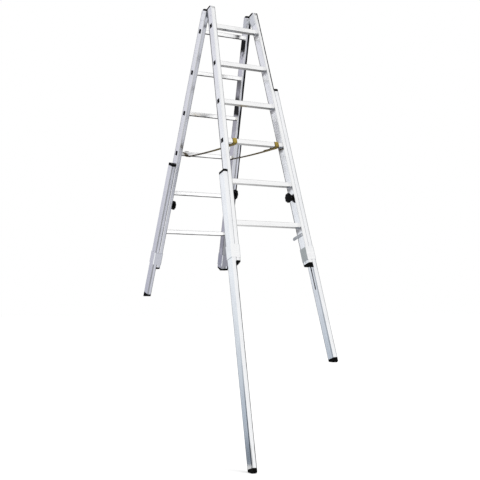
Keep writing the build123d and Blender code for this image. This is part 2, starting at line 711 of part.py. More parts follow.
def main():
    """Set the ladder on the origin by the bottom centre of its box and write one file per node."""
    pieces = ladder()
    boxes = [shape.bounding_box() for shape in pieces.values()]
    low = [min(getattr(box.min, axis) for box in boxes) for axis in "XYZ"]
    high = [max(getattr(box.max, axis) for box in boxes) for axis in "XYZ"]
    shift = Pos(-(low[0] + high[0]) / 2, -(low[1] + high[1]) / 2, -low[2])
    os.makedirs("parts", exist_ok=True)
    for name, shape in pieces.items():
        export_step(shift * shape, f"parts/{name}.step")
    hinge = shift.position
    print(f"hinge axis at y {hinge.Y:.3f}, z {hinge.Z:.3f}; middle of the ladder at x {hinge.X:.3f}")
    for corner, (length, drawn) in LEGS.items():
        travel = leg_travel(length, clamp_height(corner))
        print(f"{corner} leg: drawn {drawn:.2f} of {travel:.2f}")


main()
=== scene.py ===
"""Looks of the stairwell ladder: bright aluminium tube, black plastics and yellow webbing, in a white studio.

Metres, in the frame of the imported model: +Z is up, X runs along the rungs, the front section is towards -Y.
"""
import json
from math import atan2, cos, pi, radians, sin

import bmesh
import bpy
from mathutils import Matrix, Vector


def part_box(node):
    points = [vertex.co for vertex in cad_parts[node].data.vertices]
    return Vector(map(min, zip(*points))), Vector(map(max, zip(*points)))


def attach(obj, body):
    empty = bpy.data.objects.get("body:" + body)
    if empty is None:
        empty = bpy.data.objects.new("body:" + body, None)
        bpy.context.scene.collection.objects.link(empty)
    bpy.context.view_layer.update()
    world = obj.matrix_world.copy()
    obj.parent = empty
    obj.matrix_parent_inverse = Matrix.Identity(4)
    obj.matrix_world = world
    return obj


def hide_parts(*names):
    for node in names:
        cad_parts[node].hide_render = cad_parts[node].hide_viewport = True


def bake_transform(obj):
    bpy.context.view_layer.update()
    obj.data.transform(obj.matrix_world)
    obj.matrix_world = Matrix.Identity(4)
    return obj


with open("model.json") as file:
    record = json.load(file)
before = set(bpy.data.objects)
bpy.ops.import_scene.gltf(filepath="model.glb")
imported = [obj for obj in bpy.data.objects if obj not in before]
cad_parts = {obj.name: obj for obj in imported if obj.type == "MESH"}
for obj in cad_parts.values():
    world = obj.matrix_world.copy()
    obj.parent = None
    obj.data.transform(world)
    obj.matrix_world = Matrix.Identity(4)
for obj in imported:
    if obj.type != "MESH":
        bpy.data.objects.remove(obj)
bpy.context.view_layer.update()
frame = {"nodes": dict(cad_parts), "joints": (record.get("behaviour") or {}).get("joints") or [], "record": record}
nodes = frame["nodes"]
joints = {joint["name"]: joint for joint in frame["joints"]}
mounts = {mount["name"]: mount for mount in frame["record"]["mounts"]}

# Where things are, from the frame
SECTIONS = ("front", "rear")
SIDES = ("left", "right")
CORNERS = [f"{section}_{side}" for section in SECTIONS for side in SIDES]
HINGE = Vector(joints["fold"]["pos_m"])
LEG_DOWN = {corner: Vector(joints[f"{corner}_slide"]["axis"]) for corner in CORNERS}
LEG_SOLE = {corner: Vector(mounts[f"{corner}_sole"]["pos_m"]) for corner in CORNERS}
LEAN = atan2(-LEG_DOWN["front_left"].y, -LEG_DOWN["front_left"].z)

# Sizes shared with the solids
RUNG_SIZE = 0.027
RUNG_PITCH = 0.250
RUNG_COUNT = 6
TUBE_WIDTH = 0.025
TUBE_DEPTH = 0.060
SLIDE_GAP = 0.0006
LEG_LENGTH = {"front": 1.660, "rear": 0.863}
LEG_CAP_HEIGHT = 0.016
LEG_FOOT_DROP = 0.022
COLLAR_WALL = 0.0025

# Rivets of the leg caps, the leg feet and the straps
RIVET_SIZES = {"Head Radius": 0.0032, "Head Height": 0.0012, "Stem Radius": 0.0013}
RIVET_STEM_STAND = 2.1
RIVET_SEGMENTS = 20
RIVET_RINGS = 10
STEM_SIDES = 12
FLUSH_RIVET_HEIGHT = 0.0003
CAP_RIVET_DROP = 0.011
FOOT_RIVET_LIFT = 0.010
FOOT_RIVET_FORWARD = 0.016
STRAP_RIVET_INSET = 0.008

# Webbing straps
STRAP_RUNG = 4
STRAP_WIDTH = 0.028
STRAP_THICKNESS = 0.0022
STRAP_CLEARANCE = 0.0003
STRAP_LOOP = 0.046
STRAP_OVERLAP = 0.070
STRAP_SAG = 0.004
STRAP_BEND = 0.0034
STRAP_BEND_STEPS = 5
STRAP_BAND_STEPS = 48
STRAP_LAP_STEPS = 10
SELVEDGE = 0.0012
SHARP_EDGE = radians(40.0)
STITCH_SIZES = {"Stitch Length": 0.0034, "Stitch Pitch": 0.0042, "Thread Radius": 0.00045}
STITCH_SEGMENTS = 8
STITCH_RINGS = 6
STITCH_INSET = 0.0045
BOXED_CROSS = ((0, 1), (1, 3), (3, 2), (2, 0), (0, 3), (1, 2))

# Camera, fitted to the photograph
CAMERA_FROM_HINGE = Vector((-2.81324, -5.14195, -1.65927))
CAMERA_YAW = 0.5128
CAMERA_PITCH = 0.0549
CAMERA_ROLL = 0.0065
FOCAL_PIXELS = 980.45
FRAME_PIXELS = 480
SENSOR_WIDTH = 36.0

# Scales and ranges of the shared surface effects
DIE_FINENESS = 700.0
DIE_BAND_SHARE = 0.14
DIE_LINE_RANGE = (0.3, 0.7)
DIE_BAND_RANGE = (0.35, 0.65)
DIE_RELIEF = 0.000012
CLOUD_SCALE = 9.0
CLOUD_RANGE = (0.42, 0.7)
SCRATCH_TURN = (0.5, 0.3, 0.9)
SCRATCH_STRETCH = (1.0, 14.0, 1.0)
SCRATCH_WARP = 0.4
SCRATCH_RANGE = (0.68, 0.74)
SCRATCH_DEPTH = 0.8
TONE_SCALE = 45.0
TONE_RANGE = (0.35, 0.7)
YARN = 0.0011
YARN_ROUNDNESS = 0.5
YARN_GAP_RANGE = (0.55, 0.15)
WEBBING_EDGE_RANGE = (0.80, 0.86)
LINE_WANDER_SCALE = 12.0
LINE_WANDER = (0.2, 0.8, 0.85, 1.25)
LINE_CORE = 0.75
LINE_LEAD = 0.03
BLOTCH_SCALE = 60.0
BLOTCH_WANDER = (0.3, 0.7, 0.8, 1.25)
SHADOW_TOP_HEAVY = (0.2, 1.0, 1.0, 0.3)
SHADOW_CORE = 0.4
SIDE_SKIN = (0.001, 0.0003)
HINGE_SKIN = (0.0012, 0.0004)
HINGE_CORNER = (0.001, 0.004)

# Finishes of the tubes: how much each mark shades and wears them, and their colours
ALONG = (1.0, 1.0, 0.004)
AROUND = (0.004, 0.004, 1.0)
WHITE = (1.0, 1.0, 1.0)
DRAWN_SHADE = {"Lines": 0.35, "Bands": 0.45, "Clouds": 0.3}
DRAWN_WEAR = {"Lines": 0.6, "Clouds": 0.4, "Scratches": 0.5}
TUBE_SCRATCH_SCALE = 55.0
STILE_FINISH = {
    "bright": (0.95, 0.953, 0.958),
    "dull": (0.87, 0.875, 0.885),
    "smooth": 0.13,
    "rough": 0.28,
    "stretch": ALONG,
    # painted shade on the hinge-side face
    "hinge_face_shade": (0.50, 0.51, 0.56),
    # gloss of the dull coat where thick painted shade hides the metal
    "shade_gloss": 0.04,
}
LEG_FINISH = {
    "bright": (0.94, 0.945, 0.955),
    "dull": (0.84, 0.85, 0.87),
    "smooth": 0.14,
    "rough": 0.30,
    "stretch": ALONG,
    # painted shade on the hinge-side face
    "hinge_face_shade": (0.52, 0.53, 0.59),
}
RUNG_FINISH = {
    "bright": (0.95, 0.95, 0.95),
    "dull": (0.89, 0.89, 0.895),
    "smooth": 0.13,
    "rough": 0.28,
    "stretch": ALONG,
}
PAST_THE_COLLAR = 0.06
COLLAR_FINISH = {
    "bright": (0.95, 0.953, 0.958),
    "dull": (0.86, 0.865, 0.875),
    "smooth": 0.14,
    "rough": 0.30,
    "stretch": AROUND,
    "hinge_sizes": {"Half Width": PAST_THE_COLLAR, "Half Depth": TUBE_DEPTH / 2 + COLLAR_WALL},
}
# Tones of the painted shade on a collar's inner side and on its hinge side, which differ from corner to corner
COLLAR_SHADES = {
    "front_left": ((0.42, 0.44, 0.43), (0.50, 0.51, 0.56)),
    "front_right": ((0.42, 0.44, 0.43), (0.50, 0.51, 0.56)),
    "rear_left": ((0.72, 0.73, 0.76), (0.47, 0.48, 0.53)),
    "rear_right": ((0.72, 0.73, 0.76), (0.25, 0.25, 0.29)),
}

# Painted shade and dark reflections along the tube edges, and painted shade patches: reach and strength of each
SHADE_TONE = (0.008, 0.008, 0.010)
THIN_SHADE = 0.55
THICK_SHADE = 0.90
EDGES = (("outer", "hinge"), ("outer", "free"), ("inner", "hinge"), ("inner", "free"))
STILE_EDGES = {
    "front_left": ((0.013, 0.75), (0.004, 0.1), (0.006, 0.5), (0.0055, 0.6)),
    "front_right": ((0.006, 0.5), (0.010, 1.0), (0.0095, 0.85), (0.0045, 0.15)),
    "rear_left": ((0.0045, 0.4), (0.009, 0.6), (0.006, 0.5), (0.006, 0.5)),
    "rear_right": ((0.017, 1.0), (0.006, 0.5), (0.0045, 0.15), (0.008, 0.7)),
}
# Painted shade patches on the rear right stile: low on its hinge face and over one rung on its inner face
STILE_PATCHES = {"rear_right": {("middle", "hinge"): (0.0165, 0.5), ("inner", "middle"): (0.036, 0.97)}}
LEG_EDGES = {
    "front_left": ((0.008, 0.5), (0.006, 0.8), (0.007, 0.6), (0.006, 1.0)),
    "front_right": ((0.007, 0.6), (0.0065, 0.45), (0.007, 0.6), (0.006, 0.4)),
    "rear_left": ((0.007, 0.6), (0.005, 0.3), (0.006, 0.5), (0.0055, 0.5)),
    "rear_right": ((0.012, 1.0), (0.005, 0.3), (0.006, 0.6), (0.0055, 0.5)),
}
# Painted shade on the front left leg's outer face, darker towards the foot
LEG_PATCHES = {"front_left": {("outer", "middle"): (0.036, 0.36)}}
PATCH_FLATNESS = 8.0
# A painted shade patch over one rung of a stile's inner face
SHADE_PATCH_RUNG = 3
SHADE_PATCH_LIFT = 0.02
SHADE_PATCH_LENGTH = 0.15
SHADE_PATCH_EASE = 0.08
# A painted shade line set in from a leg's free edge, fading out up the leg
SHADE_LINE_INSET = 0.010
INSET_SHADE_LINE = {"Through": SHADE_LINE_INSET - TUBE_DEPTH / 2}
SHADE_LINE_LENGTH = {"End": 0.75, "Ease": 0.6}
# Painted shade, darker towards the foot of a leg
SHADED_FOOT = {"End": 0.22, "Ease": 0.17, "Flatness": PATCH_FLATNESS}
# Painted shade on the lower end of a stile's hinge face
SHADED_LOWER_END = {"End": 0.55, "Ease": 0.35}
# Painted shadows of the rungs on the stiles' inner faces: soft on most stiles, black on the rear right one
SOFT_RUNG_SHADOW = {"drop": 0.034, "fade": 4.0, "tone": (0.32, 0.315, 0.32), "thick": False}
DEEP_RUNG_SHADOW = {"drop": 0.125, "fade": 0.5, "tone": SHADE_TONE, "thick": True}
# Painted shade along the lower edge of each rung
RUNG_EDGE_SHADE = {"front": (RUNG_SIZE / 2, 0.0042), "rear": (-RUNG_SIZE / 2, 0.0075)}
RUNG_EDGE_SHADE_STRENGTH = 0.9

# Finishes of the fittings, and what shades and wears the metal ones
METAL = {"Metallic": 1.0}
ZINC_BLOOM = {"Bloom": 0.5, "Clouds": 0.5}
ZINC_FINISH = {
    "bright": (0.76, 0.775, 0.80),
    "dull": (0.60, 0.615, 0.63),
    "shade": ZINC_BLOOM,
    "smooth": 0.24,
    "rough": 0.42,
    "wear": ZINC_BLOOM,
    "bloom_scale": 160.0,
    "scratch_scale": 90.0,
    "relief": 0.00002,
}
DULL_ZINC_FINISH = {**ZINC_FINISH, "bright": (0.50, 0.51, 0.53), "dull": (0.34, 0.35, 0.36)}
RIVET_FINISH = {
    "bright": (0.62, 0.63, 0.65),
    "dull": (0.45, 0.46, 0.48),
    "shade": {"Clouds": 1.0},
    "smooth": 0.3,
    "rough": 0.5,
    "wear": {"Scratches": 1.0},
    "scratch_scale": 300.0,
    "relief": 0.00003,
}
PLASTIC_FINISH = {
    "dark": (0.0015, 0.0015, 0.002),
    "light": (0.005, 0.005, 0.0055),
    "smooth": 0.46,
    "rough": 0.62,
    "grain_size": 0.0007,
    "relief": 0.00004,
    "gloss": 0.05,
}
KNOB_FINISH = {
    **PLASTIC_FINISH,
    "smooth": 0.38,
    "rough": 0.54,
    "grain_size": 0.0005,
    "relief": 0.00003,
    "gloss": 0.07,
}
RUBBER_FINISH = {
    "dark": (0.002, 0.002, 0.002),
    "light": (0.008, 0.008, 0.0075),
    "smooth": 0.6,
    "rough": 0.85,
    "grain_size": 0.0011,
    "relief": 0.00008,
    "gloss": 0.05,
}
MOULDED_SHADE = {"Tone": 0.5, "Scratches": 0.5}
MOULDED_SCRATCH_SCALE = 120.0

# Finishes of the straps
WEBBING_FRESH = (0.68, 0.50, 0.09)
WEBBING_HANDLED = (0.44, 0.31, 0.06)
WEBBING_EDGE = (0.16, 0.10, 0.025)
# painted shade in the gaps between yarns
WEBBING_GAP_SHADE = (0.10, 0.065, 0.02)
# painted shade along the band, deepening away from the front rung
WEBBING_BAND_SHADE = (0.07, 0.07, 0.09)
WEBBING_LIT_UP_TO = 0.20
WEBBING_SHADED_FROM = 0.72
WEBBING_ROUGH = 0.9
WEBBING_SMOOTH = 0.68
WEBBING_RELIEF = 0.0003
WEBBING_SHEEN = {"Sheen Weight": 0.25, "Sheen Roughness": 0.4, "Specular IOR Level": 0.25}
THREAD_LIGHT = (0.20, 0.13, 0.03)
THREAD_DARK = (0.07, 0.045, 0.015)
THREAD_TWIST_SCALE = 2600.0
THREAD_ROUGHNESS = (0.3, 0.7, 0.65, 0.85)
THREAD_RELIEF = 0.0001

# Studio: the lights, and the floor's own light and paint
LADDER_MIDDLE = Vector((0.0, 0.0, 1.5))
SOFTBOX_CENTRE = Vector((2.4, -3.2, 4.0))
SOFTBOX = {"shape": "SQUARE", "size": 3.2, "energy": 32.0}
SUN_DIRECTION = Vector((-0.25, 0.35, -1.0))
SUN = {"energy": 1.2, "angle": radians(30.0)}
AMBIENT = 0.5
FLOOR_SIZE = 60.0
FLOOR_GLOW = 0.46
FLOOR_PAINT = (0.72, 0.72, 0.72)
FLOOR_BOUNCE = (0.22, 0.22, 0.22)

# Cards of the studio: the centre of each, the point that it faces, its width and its height
CARDS = {
    "left_graded_card": ((-1.0, 1.75, 1.5), LADDER_MIDDLE, 3.0, 3.6),
    "left_floor_card": ((-1.1, 0.6, 0.01), (-1.1, 0.6, 9.0), 1.6, 2.2),
    "right_graded_card": ((2.7, 0.1, 1.7), LADDER_MIDDLE, 5.0, 4.4),
    "back_flag": ((1.6, 3.0, 1.1), (0.0, 0.0, 1.1), 2.8, 2.2),
    "overhead_card": ((1.6, 0.5, 4.5), (1.6, 0.5, 0.0), 2.4, 3.4),
    "right_floor_flag": ((1.9, 1.9, 0.02), (1.9, 1.9, 9.0), 3.2, 5.0),
}
# Colours across the cards, and up one of them, at distances from the middle
CARD_ACROSS = {
    "left_graded_card": [
        (-1.2, (0.98, 1.0, 1.01)),
        (-0.3, (1.06, 1.09, 1.10)),
        (0.0, (0.80, 0.805, 0.87)),
        (0.35, (0.47, 0.46, 0.54)),
        (1.2, (0.40, 0.39, 0.46)),
    ],
    "left_floor_card": [(0.0, (0.32, 0.37, 0.44)), (0.8, WHITE)],
    "right_graded_card": [(-2.0, (0.40, 0.41, 0.43)), (0.0, (0.58, 0.59, 0.61)), (2.0, (0.72, 0.73, 0.74))],
    "back_flag": [(0.0, (0.015, 0.014, 0.013)), (1.4, WHITE)],
    "overhead_card": [(0.0, (0.15, 0.15, 0.15)), (1.2, WHITE)],
    "right_floor_flag": [(0.0, (0.08, 0.08, 0.08)), (1.6, WHITE)],
}
CARD_UPWARD = {
    "left_graded_card": [
        (-1.5, (0.36, 0.41, 0.48)),
        (-1.2, (0.56, 0.60, 0.65)),
        (-0.4, (0.86, 0.87, 0.89)),
        (0.4, WHITE),
    ],
}

# Sockets of a Mix node for colours
MIX_FACTOR = 0
MIX_FIRST = 6
MIX_SECOND = 7
MIX_RESULT = 2


# Node trees

def is_socket(value):
    """Whether a value is the socket of a node."""
    return isinstance(value, bpy.types.NodeSocket)


def add_to(tree, kind, inputs=None, **settings):
    """A new node in a tree, with settings and with inputs that are values or the sockets of other nodes."""
    node = tree.nodes.new(kind)
    for name, value in settings.items():
        setattr(node, name, value)
    for socket, value in (inputs or {}).items():
        if is_socket(value):
            tree.links.new(value, node.inputs[socket])
        else:
            node.inputs[socket].default_value = value
    return node


def fed(kind, inputs, **settings):
    """A new node in the tree of the sockets that feed it."""
    tree = next(value.id_data for value in inputs.values() if is_socket(value))
    return add_to(tree, kind, inputs, **settings)


def math_node(operation, *values, clamp=False):
    """The result of a Math node."""
    node = fed("ShaderNodeMath", dict(enumerate(values)), operation=operation, use_clamp=clamp)
    return node.outputs[0]


def product(*factors):
    """Several values multiplied."""
    result = factors[0]
    for factor in factors[1:]:
        result = math_node("MULTIPLY", result, factor)
    return result


def distance_from(value, place):
    """How far a value is from a place, on either side."""
    return math_node("ABSOLUTE", math_node("SUBTRACT", value, place))


def weighted(masks, weights):
    """The sum of named masks by their weights, held between 0 and 1."""
    total = 0.0
    for name, weight in weights.items():
        total = math_node("MULTIPLY_ADD", masks[name], weight, total, clamp=True)
    return total


def span(value, low, high, to_low=0.0, to_high=1.0):
    """A value mapped smoothly from one range to another."""
    ranges = {"From Min": low, "From Max": high, "To Min": to_low, "To Max": to_high}
    node = fed("ShaderNodeMapRange", {"Value": value, **ranges}, interpolation_type="SMOOTHSTEP")
    return node.outputs["Result"]


def between(factor, low, high):
    """A value that goes smoothly from low to high as a factor goes from 0 to 1."""
    return span(factor, 0.0, 1.0, low, high)


def ramp(factor, stops):
    """The colour of a ramp with (position, colour) stops, at least two."""
    node = fed("ShaderNodeValToRGB", {"Fac": factor})
    elements = node.color_ramp.elements
    while len(elements) < len(stops):
        elements.new(0.5)
    for element, (position, colour) in zip(elements, stops):
        element.position = position
        element.color = (*colour, 1.0)
    return node.outputs["Color"]


def opaque(colour):
    """A colour with full alpha, or a socket as it is."""
    return colour if is_socket(colour) else (*colour, 1.0)


def mixed(factor, first, second, blend="MIX"):
    """Two colours mixed by a factor."""
    inputs = {MIX_FACTOR: factor, MIX_FIRST: opaque(first), MIX_SECOND: opaque(second)}
    node = fed("ShaderNodeMix", inputs, data_type="RGBA", blend_type=blend)
    return node.outputs[MIX_RESULT]


def noise(place, scale, detail, roughness=0.5, warp=0.0):
    """The value of a noise texture."""
    look = {"Scale": scale, "Detail": detail, "Roughness": roughness, "Distortion": warp}
    return fed("ShaderNodeTexNoise", {"Vector": place, **look}).outputs["Fac"]


def coordinates(place):
    """The X, Y and Z of a place."""
    return fed("ShaderNodeSeparateXYZ", {"Vector": place}).outputs


def shader_group(name, inputs, work_out):
    """A shader node group with a Vector and named inputs, from which a function works out named outputs."""
    tree = bpy.data.node_groups.new(name, "ShaderNodeTree")
    tree.interface.new_socket("Vector", in_out="INPUT", socket_type="NodeSocketVector")
    for label, default in inputs.items():
        kind = "NodeSocketFloat" if isinstance(default, float) else "NodeSocketVector"
        tree.interface.new_socket(label, in_out="INPUT", socket_type=kind).default_value = default
    results = work_out(tree.nodes.new("NodeGroupInput").outputs)
    end = tree.nodes.new("NodeGroupOutput")
    for label, result in results.items():
        tree.interface.new_socket(label, in_out="OUTPUT", socket_type="NodeSocketFloat")
        tree.links.new(result, end.inputs[label])
    return tree


def use_group(group, place, inputs=None):
    """The named outputs of a shader node group, placed in a tree with its own values."""
    node = fed("ShaderNodeGroup", {"Vector": place, **(inputs or {})}, node_tree=group)
    return {socket.name: socket for socket in node.outputs}


# Shared surface effects

def drawn_lines(given):
    """Fine lines left by the die, or by brushing, along the direction that Stretch holds back."""
    stretching = {0: given["Vector"], 1: given["Stretch"]}
    place = fed("ShaderNodeVectorMath", stretching, operation="MULTIPLY").outputs[0]
    fine = noise(place, given["Fineness"], detail=3.0, roughness=0.6)
    coarse = noise(place, product(given["Fineness"], DIE_BAND_SHARE), detail=2.0)
    return {"Lines": span(fine, *DIE_LINE_RANGE), "Bands": span(coarse, *DIE_BAND_RANGE)}


def handling_marks(given):
    """Cloudy hand marks and sparse short scratches."""
    clouds = noise(given["Vector"], CLOUD_SCALE, detail=5.0, roughness=0.6)
    turning = {"Vector": given["Vector"], "Rotation": SCRATCH_TURN, "Scale": SCRATCH_STRETCH}
    turned = fed("ShaderNodeMapping", turning).outputs["Vector"]
    hair = noise(turned, given["Scratch Scale"], detail=1.0, warp=SCRATCH_WARP)
    return {"Clouds": span(clouds, *CLOUD_RANGE), "Scratches": span(hair, *SCRATCH_RANGE)}


def moulded_grain(given):
    """The fine spark-eroded grain of moulded plastic, with a slow change of tone."""
    scale = math_node("DIVIDE", 1.0, given["Grain Size"])
    grain = noise(given["Vector"], scale, detail=2.0, roughness=0.7)
    tone = noise(given["Vector"], TONE_SCALE, detail=4.0, roughness=0.6)
    return {"Grain": grain, "Tone": span(tone, *TONE_RANGE)}


def yarn_humps(value):
    """Rounded humps, one for each whole step of a value."""
    hump = math_node("ABSOLUTE", math_node("SINE", product(value, pi)))
    return math_node("POWER", hump, YARN_ROUNDNESS)


def webbing_weave(given):
    """Woven yarns on a map in metres: U along the webbing, V across it from the middle."""
    density = math_node("DIVIDE", 1.0, given["Yarn"])
    scaling = {0: given["Vector"], "Scale": density}
    yarns = coordinates(fed("ShaderNodeVectorMath", scaling, operation="SCALE").outputs[0])
    shifted = math_node("ADD", yarns["X"], math_node("FLOOR", yarns["Y"]))
    height = product(yarn_humps(product(shifted, 0.5)), yarn_humps(yarns["Y"]))
    from_middle = math_node("ABSOLUTE", coordinates(given["Vector"])["Y"])
    share = math_node("DIVIDE", from_middle, given["Half Width"])
    gaps = span(height, *YARN_GAP_RANGE)
    return {"Height": height, "Gaps": gaps, "Edge": span(share, *WEBBING_EDGE_RANGE)}


def corner_line(given):
    """A line of painted shade along a tube, at (Across, Through) from its middle, from a Start up to an eased End.

    Flatness makes its reach that much less across the tube than through it, so that it keeps to one side.
    """
    spot = coordinates(given["Vector"])
    wander = noise(given["Vector"], LINE_WANDER_SCALE, detail=3.0)
    sideways = product(distance_from(spot["X"], given["Across"]), given["Flatness"])
    away = math_node("MAXIMUM", sideways, distance_from(spot["Y"], given["Through"]))
    ragged = product(away, span(wander, *LINE_WANDER))
    line = span(ragged, given["Reach"], product(given["Reach"], LINE_CORE))
    above = span(math_node("SUBTRACT", spot["Z"], given["Start"]), -LINE_LEAD, 0.0)
    below = span(math_node("SUBTRACT", given["End"], spot["Z"]), 0.0, given["Ease"])
    return {"Mask": product(line, above, below)}


def side_face(given):
    """The flat side of a tube that lies at a distance Across from its middle."""
    away = distance_from(coordinates(given["Vector"])["X"], given["Across"])
    return {"Mask": span(away, *SIDE_SKIN)}


def painted_rung_shadow(given):
    """Painted shadow on the inner face of a stile, below the rungs that pass through it, most below the top one.
    """
    blotches = noise(given["Vector"], BLOTCH_SCALE, detail=4.0)
    height = coordinates(given["Vector"])["Z"]
    lowered = math_node("SUBTRACT", given["First Rung"], height)
    top_heavy = span(math_node("DIVIDE", lowered, given["Fade"]), *SHADOW_TOP_HEAVY)
    next_rung = math_node("SUBTRACT", RUNG_SIZE, given["Pitch"])
    level = math_node("SUBTRACT", height, given["First Rung"])
    level = math_node("WRAP", level, RUNG_SIZE, next_rung)
    below = math_node("SUBTRACT", -RUNG_SIZE / 2, level)
    below = product(below, span(blotches, *BLOTCH_WANDER))
    fade = span(below, given["Drop"], product(given["Drop"], SHADOW_CORE))
    started = math_node("GREATER_THAN", below, 0.0)
    face = use_group(SIDE_FACE, given["Vector"], {"Across": given["Across"]})
    return {"Mask": product(fade, top_heavy, started, face["Mask"])}


def hinge_face_shade(given):
    """Where painted shade goes: the face of a tube towards the hinge side of its section, without the rounded
    corners.
    """
    spot = coordinates(given["Vector"])
    depth = math_node("SUBTRACT", given["Half Depth"], spot["Y"])
    side = math_node("SUBTRACT", given["Half Width"], math_node("ABSOLUTE", spot["X"]))
    return {"Mask": product(span(side, *HINGE_CORNER), span(depth, *HINGE_SKIN))}


# Inputs of the effects, where a material gives none of its own
SIDE_INPUTS = {"Across": TUBE_WIDTH / 2}
FACE_INPUTS = {"Half Width": TUBE_WIDTH / 2, "Half Depth": TUBE_DEPTH / 2}
WEAVE_INPUTS = {"Yarn": YARN, "Half Width": STRAP_WIDTH / 2}
RUNG_SHADOW_INPUTS = {**SIDE_INPUTS, "First Rung": 0.0, "Pitch": RUNG_PITCH, "Drop": 0.035, "Fade": 0.5}
LINE_EXTENT = {"Start": -9.0, "End": 9.0, "Ease": 0.01, "Flatness": 1.0}
LINE_INPUTS = {**SIDE_INPUTS, "Through": TUBE_DEPTH / 2, "Reach": 0.005, **LINE_EXTENT}

DRAWN_LINES = shader_group("drawn_lines", {"Stretch": ALONG, "Fineness": DIE_FINENESS}, drawn_lines)
HANDLING_MARKS = shader_group("handling_marks", {"Scratch Scale": 60.0}, handling_marks)
MOULDED_GRAIN = shader_group("moulded_grain", {"Grain Size": 0.0006}, moulded_grain)
WEBBING_WEAVE = shader_group("webbing_weave", WEAVE_INPUTS, webbing_weave)
CORNER_LINE = shader_group("corner_line", LINE_INPUTS, corner_line)
SIDE_FACE = shader_group("side_face", SIDE_INPUTS, side_face)
RUNG_SHADOW = shader_group("painted_rung_shadow", RUNG_SHADOW_INPUTS, painted_rung_shadow)
HINGE_FACE_SHADE = shader_group("hinge_face_shade", FACE_INPUTS, hinge_face_shade)


# Materials

def new_material(name, constants=None):
    """A material with its tree and its Principled shader, which has some constant inputs."""
    material = bpy.data.materials.new(name)
    material.use_nodes = True
    shader = material.node_tree.nodes["Principled BSDF"]
    for label, value in (constants or {}).items():
        shader.inputs[label].default_value = value
    return material, material.node_tree, shader


def object_place(tree, turn=None, middle=Vector()):
    """Object coordinates, turned by a matrix about a point so that a pattern follows a piece's own axes."""
    place = add_to(tree, "ShaderNodeTexCoord").outputs["Object"]
    if turn is None:
        return place
    settings = {"Vector": place, "Rotation": turn.to_euler("XYZ"), "Location": -(turn @ middle)}
    return fed("ShaderNodeMapping", settings).outputs["Vector"]


def repeated_place(place, pitch):
    """Coordinates that start again at every pitch along X, from the middle of each bar."""
    spot = coordinates(place)
    wrapped = math_node("WRAP", spot["X"], pitch / 2, -pitch / 2)
    joined = fed("ShaderNodeCombineXYZ", {"X": wrapped, "Y": spot["Y"], "Z": spot["Z"]})
    return joined.outputs["Vector"]


def coat(shader, colour, roughness, relief, depth):
    """A shader's colour, roughness and relief, with the relief's depth in metres."""
    links = shader.id_data.links
    links.new(colour, shader.inputs["Base Color"])
    links.new(roughness, shader.inputs["Roughness"])
    node = fed("ShaderNodeBump", {"Height": relief, "Distance": depth, "Strength": 1.0})
    links.new(node.outputs["Normal"], shader.inputs["Normal"])


def matt_shade(shader, amounts, gloss):
    """Lets the thickest painted shade hide the metal under a dull coat."""
    thickest = 0.0
    for amount in amounts:
        thickest = math_node("MAXIMUM", thickest, amount)
    bare = span(thickest, THIN_SHADE, THICK_SHADE, 1.0, 0.0)
    shader.id_data.links.new(bare, shader.inputs["Metallic"])
    shader.inputs["Specular IOR Level"].default_value = gloss


def bright_aluminium(name, finish, turn, middle, corners=(), pitch=None, rung_shading=None, shaded_side=None):
    """Extruded aluminium: die lines along its length, hand marks, a few scratches, and painted shade at corners
    and on faces.

    A corner is (values of a painted shade line, strength), and bars a pitch apart share one set of corners.
    Rung shading is (values, kind) of the painted rung shadows, and a shaded side is (distance across, tone).
    """
    material, tree, shader = new_material(name, METAL)
    place = object_place(tree, turn, middle)
    lines = use_group(DRAWN_LINES, place, {"Stretch": finish["stretch"]})
    marks = use_group(HANDLING_MARKS, place, {"Scratch Scale": TUBE_SCRATCH_SCALE})
    masks = {**lines, **marks}
    colour = mixed(weighted(masks, DRAWN_SHADE), finish["bright"], finish["dull"])
    section = place if pitch is None else repeated_place(place, pitch)
    # painted shade on the hinge-side face
    if "hinge_face_shade" in finish:
        face = use_group(HINGE_FACE_SHADE, section, finish.get("hinge_sizes"))
        colour = mixed(face["Mask"], colour, finish["hinge_face_shade"])
    # painted shade on one side of a collar
    if shaded_side is not None:
        across, tone = shaded_side
        face = use_group(SIDE_FACE, section, {"Across": across})
        colour = mixed(face["Mask"], colour, tone)
    shade_amounts = []
    # painted shadow of the rungs on the inner face
    if rung_shading is not None:
        values, kind = rung_shading
        below = use_group(RUNG_SHADOW, section, values)["Mask"]
        colour = mixed(below, colour, kind["tone"])
        if kind["thick"]:
            shade_amounts.append(below)
    # painted shade and dark reflections along the edges, and painted shade patches
    for values, strength in corners:
        amount = product(use_group(CORNER_LINE, section, values)["Mask"], strength)
        colour = mixed(amount, colour, SHADE_TONE)
        shade_amounts.append(amount)
    roughness = between(weighted(masks, DRAWN_WEAR), finish["smooth"], finish["rough"])
    relief = math_node("MULTIPLY_ADD", marks["Scratches"], -SCRATCH_DEPTH, lines["Lines"])
    coat(shader, colour, roughness, relief, DIE_RELIEF)
    if "shade_gloss" in finish:
        matt_shade(shader, shade_amounts, finish["shade_gloss"])
    return material


def worn_metal(name, finish):
    """Metal with hand marks and scratches, and with the cloudy bloom of passivated zinc where it has one."""
    material, tree, shader = new_material(name, METAL)
    place = object_place(tree)
    masks = use_group(HANDLING_MARKS, place, {"Scratch Scale": finish["scratch_scale"]})
    if "bloom_scale" in finish:
        bloom = fed("ShaderNodeTexVoronoi", {"Vector": place, "Scale": finish["bloom_scale"]})
        masks["Bloom"] = bloom.outputs["Distance"]
    colour = mixed(weighted(masks, finish["shade"]), finish["bright"], finish["dull"])
    roughness = between(weighted(masks, finish["wear"]), finish["smooth"], finish["rough"])
    coat(shader, colour, roughness, masks["Scratches"], finish["relief"])
    return material


